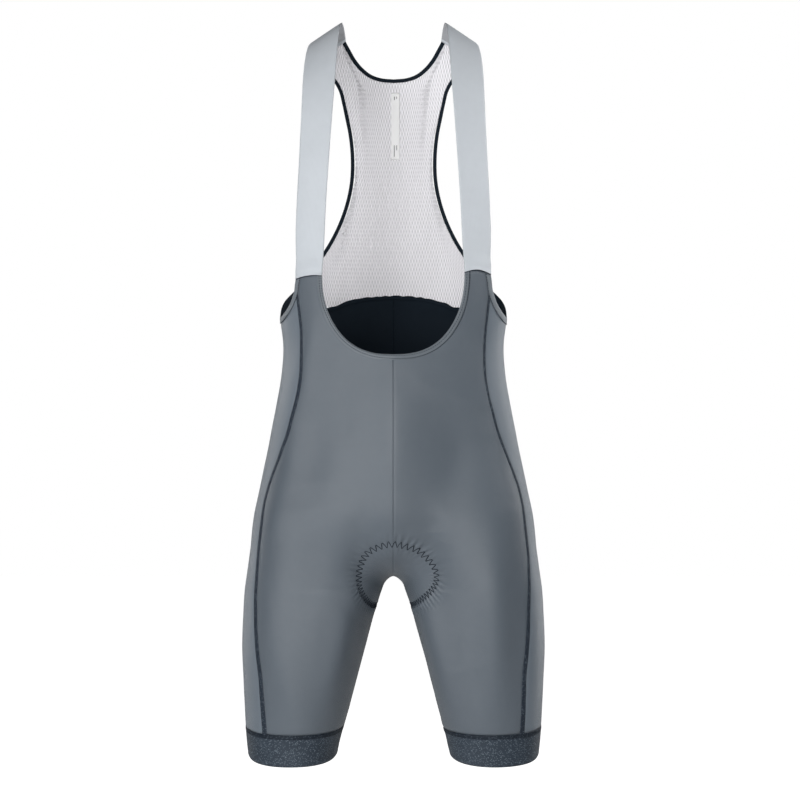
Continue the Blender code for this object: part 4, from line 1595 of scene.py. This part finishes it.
# The right back armhole's dark tape: the same tape painted lighter, for the light that falls on it
LIT_TAPE = tape_material("dark tape painted lighter for light", (0.045, 0.053, 0.058), (0.135, 0.150, 0.162), 3.0)
NECK_TAPE = tape_material("neck tape", (0.008, 0.011, 0.013), (0.062, 0.070, 0.077), 3.0)
SELF_TAPE = knit_material("self cloth tape", (0.103, 0.121, 0.141), (0.131, 0.152, 0.172), 0.5,
                          across=0.7, along=0.9)
SEAM_THREAD = thread_material("seam thread", (0.016, 0.023, 0.034), (0.062, 0.078, 0.097))
BAND_THREAD = thread_material("gripper seam thread", (0.008, 0.013, 0.021), (0.040, 0.053, 0.069))
CENTRE_THREAD = thread_material("centre seam thread", (0.056, 0.069, 0.084))
# Dark thread for stitches, also used for the painted shadow line under each strap
DARK_THREAD_AND_SHADOW = thread_material("dark thread and painted shadow line", (0.012, 0.017, 0.025))
FOAM = knit_material("seat pad cloth", (0.030, 0.034, 0.040), (0.055, 0.060, 0.068), 0.85,
                     across=2.0, along=2.0, deep=0.2)
LABEL = knit_material("label tape", (0.80, 0.80, 0.80), (0.90, 0.90, 0.90), 0.6, across=0.6,
                      along=0.6, deep=0.04)
MARK = thread_material("label marks", (0.10, 0.10, 0.11))

LINES = shared_seams()
PAD_PATH = pad_stitch_path()
PAD_LENGTH = lengths(np.concatenate([PAD_PATH, PAD_PATH[:1]]))[-1]
PAD_SIDE = beside(facing([(0, PAD_INSIDE)], -1), PAD_PATH)[2][0]


def both_sides(make):
    """Make a left piece and its right twin: make(side, turn) is called for each."""
    for side, turn in (("left", lambda points: points), ("right", to_right)):
        make(side, turn)


def front_map(grid, neck_row):
    """Places in a front panel's knit: U is measured along each row from the middle, above
    the neck's lowest point as on that point's row, and V is straight down."""
    u = edge_gaps(grid)[2].copy()
    x = abs(grid[..., 0])
    u[:neck_row] = np.interp(x[:neck_row], x[neck_row], u[neck_row])
    return np.stack([u, -grid[..., 2]], axis=-1)


def make_panels(side, turn):
    """The front panel and the side and back panel of one side."""
    corner = NECK_ROWS + RISE_ROWS
    grid = LINES["front"]
    near_pad = abs(grid[1:, 0, 2] + grid[:-1, 0, 2] - 2 * PAD_LEVEL) < 2 * PAD_REACH
    rows = np.where(near_pad, *FRONT_ROWS_FINER)
    columns = np.where(abs(grid[corner, 1:, 0]) < PAD_SIDE_REACH, *FRONT_COLUMNS_FINER)
    grid = finer(grid, rows, (HORN_ROWS, NECK_ROWS, corner), column_times=columns)
    seam = turn(finer_lines(LINES["seam"], PANEL_FINER * 2))
    legs = turn(finer_lines(LINES["legs"], PANEL_FINER * 2))
    front = laid(turn(grid), (SEAM_DIP, SEAM_DIP, CENTRE_DIP, SEAM_DIP), [seam, legs], padded=True)
    below = int(rows[:NECK_ROWS].sum())
    made = grid_mesh(f"front_cloth_{side}", front, [MAIN, INNER], flat=front_map(front, below))
    own(walled(made, PANEL_WALL), [f"front_{side}"])

    grid = LINES["side_back"]
    corner -= HORN_ROWS
    near_seat = (grid[1:, -1, 2] < SEAT_HIGH) & (grid[:-1, -1, 2] > SEAT_LOW)
    rows = np.where(near_seat, PANEL_FINER, PLAIN_FINER)
    columns = np.where(edge_gaps(grid)[3][corner, :-1] < SEAT_REACH, PANEL_FINER, PLAIN_FINER)
    rows[[0, -1]] = columns[[0, 1]] = PANEL_FINER
    grid = finer(grid, rows, (corner,), (ARM_COLUMNS,), columns)
    back = laid(turn(grid), (SEAM_DIP, SEAM_DIP, SEAM_DIP, CENTRE_DIP), [seam, legs], padded=True)
    # The side and back panel takes the knit painted lighter for the side light
    made = grid_mesh(f"side_back_cloth_{side}", back, [SIDE_LIT_KNIT, INNER])
    own(walled(made, PANEL_WALL), [f"side_back_{side}"])

    own(flatlock(f"side_seam_{side}", seam, SEAM_THREAD, SEAM_WIDTHS))
    own(flatlock(f"inseam_{side}", legs, SEAM_THREAD))


def make_strap(side, turn):
    """A shoulder strap, and a dark rod under its lower edge on the front panel: a painted shadow.

    Its lower end laps over the panel, stands out there and has a hem. Over the shoulder
    its outer edge turns forward: height = turn x share across x smooth steps along.
    """
    grid = finer(LINES["strap"], STRAP_FINER)
    across = np.linspace(0, 1, grid.shape[1])
    lap = smooth(np.array([0, 0.5, 1.0]), np.array(STRAP_LAPS[side]), across)
    share = np.linspace(1, 0, STRAP_LAP_ROWS + 1)[:-1, None]
    down = grid[:1] - (share * lap)[..., None] * np.array([0, 0, 1.0])
    grid = turn(np.concatenate([settle(down), grid]))
    low, high, inner, outer = edge_gaps(grid)
    over = STRAP_OVER * (1 - soft_step((low - STRAP_OVER_LONG) / STRAP_OVER_FADE))
    hem = 0.35 * bell(low, 1.0) - 0.3 * bell(low - STRAP_HEM, 0.9)
    height = over + hem - 0.35 * bell(np.minimum(inner, outer), 1.0)
    turned = (inner - outer) / (inner + outer)
    turned *= soft_step(low / STRAP_TURN_FADE) * soft_step((high - 60) / 80)
    height += STRAP_TURN * turned
    grid = grid + height[..., None] * grid_normals(grid)
    # The strap's inner face is painted darker for shade
    made = grid_mesh(f"strap_cloth_{side}", grid, [STRAP, STRAP_INSIDE_SHADED])
    own(walled(made, STRAP_WALL), [f"strap_{side}"])
    # A dark rod just under the strap's lower edge: a painted shadow where the strap stands out
    # over the panel
    shade = grid[0] - 0.5 * unit(grid[1] - grid[0]) - grid_normals(grid)[0]
    shade = carried(even(shade, 0.8), oval(1.1, 1.0, count=8))
    own(rods(f"strap_shade_{side}", shade, [DARK_THREAD_AND_SHADOW]))
    fold = grid[-1] + 0.4 * grid_normals(grid)[-1]
    back = unit(grid[-2] - grid[-1])
    bar = np.stack([fold + along * back for along in STRAP_END_ROWS])
    made = grid_mesh(f"strap_end_{side}", bar, [STRAP])
    own(walled(made, STRAP_END_WALL))


def make_gripper(side, turn):
    """An elastic leg band with its sewn upper edge and its folded hem."""
    angle = np.arange(BAND_COLUMNS) * 360 / BAND_COLUMNS
    top = ring(GRIPPER_TOP, angle)
    bottom = ring(HEM - HEM_DIP * -np.sin(np.radians(angle)), angle)
    share = np.linspace(0, 1, BAND_ROWS + 1)[:, None, None]
    grid = settle(turn(top * (1 - share) + bottom * share))
    drop = lengths(grid[:, 0])[:, None]
    low = drop[-1] - drop
    height = -0.5 * bell(drop, 1.5) - 0.9 * bell(low, 1.2) - 0.25 * bell(low - 6.0, 0.8)
    grid = grid + height[..., None] * outward(grid)
    made = grid_mesh(f"gripper_cloth_{side}", grid, [BAND, INNER], closed=True)
    own(walled(made, GRIPPER_WALL), [f"gripper_{side}"])
    make_gripper_seam(side, settle(turn(ring(GRIPPER_TOP - GRIPPER_SEAM_DROP, angle))))


def make_gripper_seam(side, line):
    """The seam of threads round the band's upper edge, on a closed line.

    Height = arch x (1 - across^4) x (0.6 + 0.4 |sin|) of a slanted distance along.
    """
    path = even(line, FLATLOCK_STEP, loop=True)
    along = lengths(path)[:, None]
    share = np.linspace(-1, 1, 9)[None]
    rounds = int(along[-1, 0] / GRIPPER_THREAD_PITCH)
    thread = abs(np.sin(np.pi * (along / along[-1] * rounds + 0.4 * share)))
    top = 0.6 * (1 - share ** 4) * (0.6 + 0.4 * thread) - 0.3
    half = GRIPPER_SEAM_WIDE / 2
    top_points = np.stack([np.broadcast_to(share * half, top.shape), top], axis=-1)
    under = np.stack([0.9 * half * np.array([1, 0, -1]), np.full(3, -0.7)], axis=-1)
    under = np.broadcast_to(under, (len(path), 3, 2))
    band = carried(path, np.concatenate([top_points, under], axis=1), loop=True)
    own(rods(f"gripper_seam_{side}", band, [BAND_THREAD], loop=True))


def binding(name, edge, away, look, nodes, high=2.2, wider=0.4, shift=0.0):
    """A rounded tape that wraps a cloth edge, from its line out to the opening.

    wider is how much it reaches over the cloth, past the edge's line, and shift is how far
    the whole tape lies out towards the opening.
    """
    edge = settle(even(edge, 1.5))
    outline = inset(edge, BINDING_WIDE, away)
    middle = (edge + outline) / 2 + (edge - outline) * (wider / 2 - shift) / BINDING_WIDE
    profile = oval(BINDING_WIDE + wider, high)
    made = rods(name, carried(middle, profile, lift=-0.5), [look, INNER])
    inner = profile[:, 1] + np.roll(profile[:, 1], -1) < 0
    slots = np.zeros(len(made.data.polygons), np.int32)
    slots[:(len(middle) - 1) * len(profile)] = np.tile(inner, len(middle) - 1)
    made.data.polygons.foreach_set("material_index", slots)
    own(made, nodes)


def make_arm_bindings(side, turn):
    """The self-coloured tape of the horn and armhole, and the dark tape along the net, painted
    lighter on the right for the light that falls there.
    """
    armpit = turn(np.array(ARMPIT, float))
    low = turn(finer_lines(LINES["arm_low"], PANEL_FINER))
    wider = ARM_TAPE_WIDER[side]
    binding(f"armhole_tape_{side}", low, armpit, SELF_TAPE,
            [f"armhole_binding_{side}"], wider=wider)
    row = inset(low, 0.4 - wider, armpit)
    own(stitches(f"armhole_stitches_{side}", row, DARK_THREAD_AND_SHADOW, lift=0.2))
    high = turn(finer_lines(LINES["arm_high"], PANEL_FINER))
    # The right side's tape takes the copy painted lighter for the light on that side
    look = TAPE if side == "left" else LIT_TAPE
    binding(f"back_armhole_tape_{side}", high, armpit, look,
            [f"back_armhole_binding_{side}"], high=1.8, wider=-0.8, shift=1.2)


def whole(line):
    """A left line that ends at the middle, joined to its mirror image."""
    return np.concatenate([line, flipped(line)[::-1][1:]])


def whole_grid(half):
    """A left grid whose last column is at the middle, joined to its mirror image."""
    return np.concatenate([half, flipped(half)[:, ::-1][:, 1:]], axis=1)


def make_net():
    """The back's net, pushed a little past its seams at the armholes and the top.

    Relief = cos U x cos V over the dashes' pitches, stronger by a bell round one place
    where the net is stretched, and nothing at the top and bottom seams.
    """
    half = finer(LINES["net"], NET_ROWS_FINER, (), (MESH_STRAP_COLUMNS,), NET_FINER)
    net = settle(whole_grid(half))
    top, _, first, last = edge_gaps(net)
    net = net + NET_PAST * bell(first, 8)[..., None] * unit(net[:, :1] - net[:, 1:2])
    net = net + NET_PAST * bell(last, 8)[..., None] * unit(net[:, -1:] - net[:, -2:-1])
    net = settle(net + NET_PAST_TOP * bell(top, 5)[..., None] * unit(net[:1] - net[1:2]))
    top, bottom, first, _ = edge_gaps(net)
    u = first - first[:, [net.shape[1] // 2]]
    v = -net[..., 2]
    sewn = bell(top, 2.0) + bell(bottom, 2.0)
    ribs = np.cos(2 * np.pi * u / NET_ACROSS) * np.cos(2 * np.pi * v / NET_ALONG)
    away = np.linalg.norm(net[..., ::2] - np.array(NET_STRETCH_PLACE), axis=-1)
    strong = 1 + NET_STRETCHED * bell(away, NET_STRETCH_REACH)
    height = NET_RELIEF * strong * ribs * (1 - np.minimum(sewn, 1)) - 0.5 * sewn
    net = net + height[..., None] * outward(net)
    made = grid_mesh("back_net_cloth", net, [NET_CLOTH], flat=np.stack([u, v], axis=-1))
    own(walled(made, MESH_WALL), ["back_panel"])


def make_neck_tapes():
    """The front neck's tape with its two rows of stitches, and the back neck's tape."""
    opening = np.array(NECK_OPENING, float)
    neck = whole(finer_lines(LINES["neck"], PANEL_FINER))
    binding("front_neck_tape", neck, opening, SELF_TAPE, ["front_neck_binding"],
            wider=1.2, shift=-0.7)
    neck = even(neck, 1.5)
    share = soft_step((neck[:, :1] + NECK_STITCHES_TURN / 2) / NECK_STITCHES_TURN)
    past = NECK_STITCHES[0] * (1 - share) + NECK_STITCHES[1] * share
    away = unit(inset(neck, 1.0, opening) - neck)
    row = settle(neck - past * away)
    own(stitches("front_neck_stitches", row, DARK_THREAD_AND_SHADOW, lift=0.3))
    row = settle(neck + (3.2 - past / 2) * away)
    own(stitches("front_neck_top_stitches", row, DARK_THREAD_AND_SHADOW, lift=0.7, radius=0.34, long=1.7))
    back = whole(finer_lines(LINES["back_neck"], PANEL_FINER))
    binding("back_neck_tape", back, opening, NECK_TAPE, ["back_neck_binding"],
            high=1.8, wider=-0.5, shift=-0.4)


def make_centre_seams():
    """The front's centre stitches, the seat's and the waist's seam, and the pad's zigzag."""
    centre = settle(rise(-1, LINES["neck"][-1, 2], CENTRE_POINTS))
    own(stitches("centre_front_stitches", centre, CENTRE_THREAD, lift=-CENTRE_DIP, pitch=3.1,
                 long=1.2, radius=0.22))
    seat = settle(rise(1, LINES["waist"][-1, 2], CENTRE_POINTS))
    own(flatlock("seat_seam", seat, SEAM_THREAD, over_pad=True))
    waist = whole(finer_lines(LINES["waist"], PANEL_FINER))
    own(flatlock("waist_seam", waist, SEAM_THREAD, wide=4.0))
    own(zigzag("pad_stitches", PAD_PATH, DARK_THREAD_AND_SHADOW))
    make_overlock(waist)


def make_overlock(waist):
    """The overlocked allowance inside the waist seam, with an uneven upper edge."""
    path = even(waist, 1.1)
    count = np.arange(len(path))
    marks = np.arange(0, len(path) + OVERLOCK_EVERY, OVERLOCK_EVERY)
    coarse = np.interp(count, marks, np.random.default_rng(5).uniform(0, 1.5, len(marks)))
    tooth = 0.4 * (count % 2) + coarse
    up = unit(np.cross(np.gradient(path, axis=0), outward(path)))
    up = up * np.sign(up[:, 2:])
    share = np.array([-2.6, -1.0, 0.4, 1.4])
    reach = share[:, None] + np.array([0, 0, 0, 1.0])[:, None] * tooth
    grid = settle(path[None] + reach[..., None] * up[None])
    grid = grid - (MESH_WALL + 0.6) * outward(path)[None]
    made = grid_mesh("waist_overlock", grid, [INNER])
    own(walled(made, 0.7))


def make_pad():
    """The seat pad: a soft sheet with a raised cushion on each side of a central channel.

    Thickness = edge + rise x (1 - bell(across)) x a dip along a groove on each side, thinned
    towards its rim.
    """
    _, lines = pad_lines()
    outer = settle(whole_grid(finer(lines, 5)[:, ::-1]))
    normal = outward(outer)
    gaps = edge_gaps(outer)
    rim = 1 - np.exp(-np.min(gaps, axis=0) / 9)
    across = (gaps[2] - gaps[3]) / 2
    cushion = 1 - 0.75 * bell(across, 7)
    groove = 1 - 0.5 * bell(abs(across) - 27, 3)
    thick = 1.2 + 4.2 * rim * cushion * groove
    outer = outer - (PANEL_WALL + PAD_CLEAR - 0.4) * normal
    inner = outer - thick[..., None] * normal
    rows, columns = outer.shape[:2]
    number = np.arange(rows * columns).reshape(rows, columns)
    edge = np.concatenate([
        number[0], number[1:, -1], number[-1, :-1][::-1], number[1:-1, 0][::-1],
    ])
    after = np.roll(edge, -1)
    quads = [number[corner].reshape(-1) for corner in quad_corners(rows - 1, columns - 1)]
    quads = np.stack(quads, axis=-1)
    rim_quads = np.stack([edge, edge + rows * columns, after + rows * columns, after], axis=-1)
    faces = np.concatenate([quads, quads[:, ::-1] + rows * columns, rim_quads])
    points = np.concatenate([outer.reshape(-1, 3), inner.reshape(-1, 3)])
    flat = np.stack([gaps[2], gaps[0]], axis=-1).reshape(-1, 2)
    uv = np.concatenate([flat, flat])[faces]
    made = mesh_object("seat_pad_foam", points, faces.tolist(), [FOAM], uv)
    if faces_in(points, quads):
        made.data.flip_normals()
    own(made, ["seat_pad"])


def label_bar(grid, across, start, end, wide):
    """A short flat bar on the label: shares across it and down it, and a width."""
    rows, columns = grid.shape[:2]
    down = np.linspace(start, end, 8) * (rows - 1)
    i = np.minimum(down.astype(int), rows - 2)
    t = (down - i)[:, None]
    c = across * (columns - 1)
    j = min(int(c), columns - 2)
    column = grid[:, j] * (1 - c + j) + grid[:, j + 1] * (c - j)
    path = column[i] * (1 - t) + column[i + 1] * t
    return carried(path, oval(wide, 0.3, count=8), lift=-LABEL_WALL)


def make_label():
    """The label inside the net: a folded strip and plain bars."""
    grid = settle(finer(label_grid(), 6))
    grid = grid - (MESH_WALL + 0.35) * outward(grid)
    gap = np.min(edge_gaps(grid), axis=0)
    grid = grid + (0.25 * bell(gap, 0.8))[..., None] * outward(grid)
    made = grid_mesh("label_strip", grid, [LABEL])
    own(walled(made, LABEL_WALL), ["label"])
    bars = [label_bar(grid, *place) for place in LABEL_BARS]
    own(rods("label_bars", np.concatenate(bars), [MARK]))


both_sides(make_panels)
both_sides(make_strap)
both_sides(make_gripper)
both_sides(make_arm_bindings)
make_net()
make_neck_tapes()
make_centre_seams()
make_pad()
make_label()


# Studio
CAMERA_PLACE = (0.0078, -2.5, -0.44)
CAMERA_LENS = 93.75
SENSOR = 36.0
FLOOR_HEIGHT = -1.25
FLOOR_SIZE = 14.0
SURROUND_LIGHT = 0.02
LIT_PLACE = (0, 0, -0.45)
# Name, place, width and height, and power of each light
LIGHTS = [
    ("key", (-0.54, -2.54, -0.35), (1.8, 2.0), 57),
    ("left_key", (-1.49, -2.13, -0.35), (1.0, 2.0), 23.5),
    ("left_rim", (-1.67, 1.99, -0.35), (1.0, 2.0), 10.5),
    ("right_rim", (1.67, 1.99, -0.35), (1.0, 2.0), 13.5),
    ("left_back", (-1.0, 0.6, 0.1), (0.3, 0.3), 3.3),
    ("right_side", (1.0, 0, 0.1), (0.3, 0.3), 7.3),
    ("right_back", (1.0, 0.6, 0.1), (0.3, 0.3), 3.0),
]


def make_camera():
    """The camera at the photograph's height and distance, level and square to the front."""
    data = bpy.data.cameras.new("camera")
    data.sensor_width = SENSOR
    data.lens = CAMERA_LENS
    camera = bpy.data.objects.new("camera", data)
    camera.location = CAMERA_PLACE
    camera.rotation_euler = (math.radians(90), 0, 0)
    bpy.context.scene.collection.objects.link(camera)
    bpy.context.scene.camera = camera


def make_light(name, place, size, power):
    """A soft rectangular light that faces the middle of the garment."""
    data = bpy.data.lights.new(name, "AREA")
    data.shape = "RECTANGLE"
    data.size, data.size_y = size
    data.energy = power
    lamp = bpy.data.objects.new(name, data)
    lamp.location = place
    way = Vector(LIT_PLACE) - Vector(place)
    lamp.rotation_euler = way.to_track_quat("-Z", "Y").to_euler()
    bpy.context.scene.collection.objects.link(lamp)


def seen_share(tree, seen, unseen):
    """A strength for the camera's own rays, and another for all other rays."""
    camera = node(tree, "ShaderNodeLightPath").outputs["Is Camera Ray"]
    return maths(tree, "ADD", maths(tree, "MULTIPLY", camera, seen - unseen), unseen)


def make_surround():
    """A white surround that sheds little light on the garment."""
    world = bpy.data.worlds.new("studio")
    world.use_nodes = True
    tree = world.node_tree
    background = tree.nodes["Background"]
    background.inputs["Color"].default_value = (1, 1, 1, 1)
    tree.links.new(seen_share(tree, 1.0, SURROUND_LIGHT), background.inputs["Strength"])
    bpy.context.scene.world = world


def make_floor():
    """A plain pale floor, as white to the camera as the surround."""
    half = FLOOR_SIZE / 2
    mesh = bpy.data.meshes.new("floor")
    mesh.from_pydata([(-half, -half, FLOOR_HEIGHT), (half, -half, FLOOR_HEIGHT),
                      (half, half, FLOOR_HEIGHT), (-half, half, FLOOR_HEIGHT)], [], [(0, 1, 2, 3)])
    look = bpy.data.materials.new("pale floor")
    look.use_nodes = True
    tree = look.node_tree
    shader = tree.nodes["Principled BSDF"]
    shader.inputs["Base Color"].default_value = (0.8, 0.8, 0.8, 1)
    shader.inputs["Roughness"].default_value = 0.9
    glow = node(tree, "ShaderNodeEmission", {"Strength": seen_share(tree, 1.0, 0.0)}).outputs[0]
    both = node(tree, "ShaderNodeAddShader", {0: shader.outputs[0], 1: glow}).outputs[0]
    tree.links.new(both, tree.nodes["Material Output"].inputs["Surface"])
    mesh.materials.append(look)
    floor = bpy.data.objects.new("floor", mesh)
    bpy.context.scene.collection.objects.link(floor)


make_camera()
make_surround()
make_floor()
for light in LIGHTS:
    make_light(*light)
bpy.context.scene.view_settings.view_transform = "Standard"
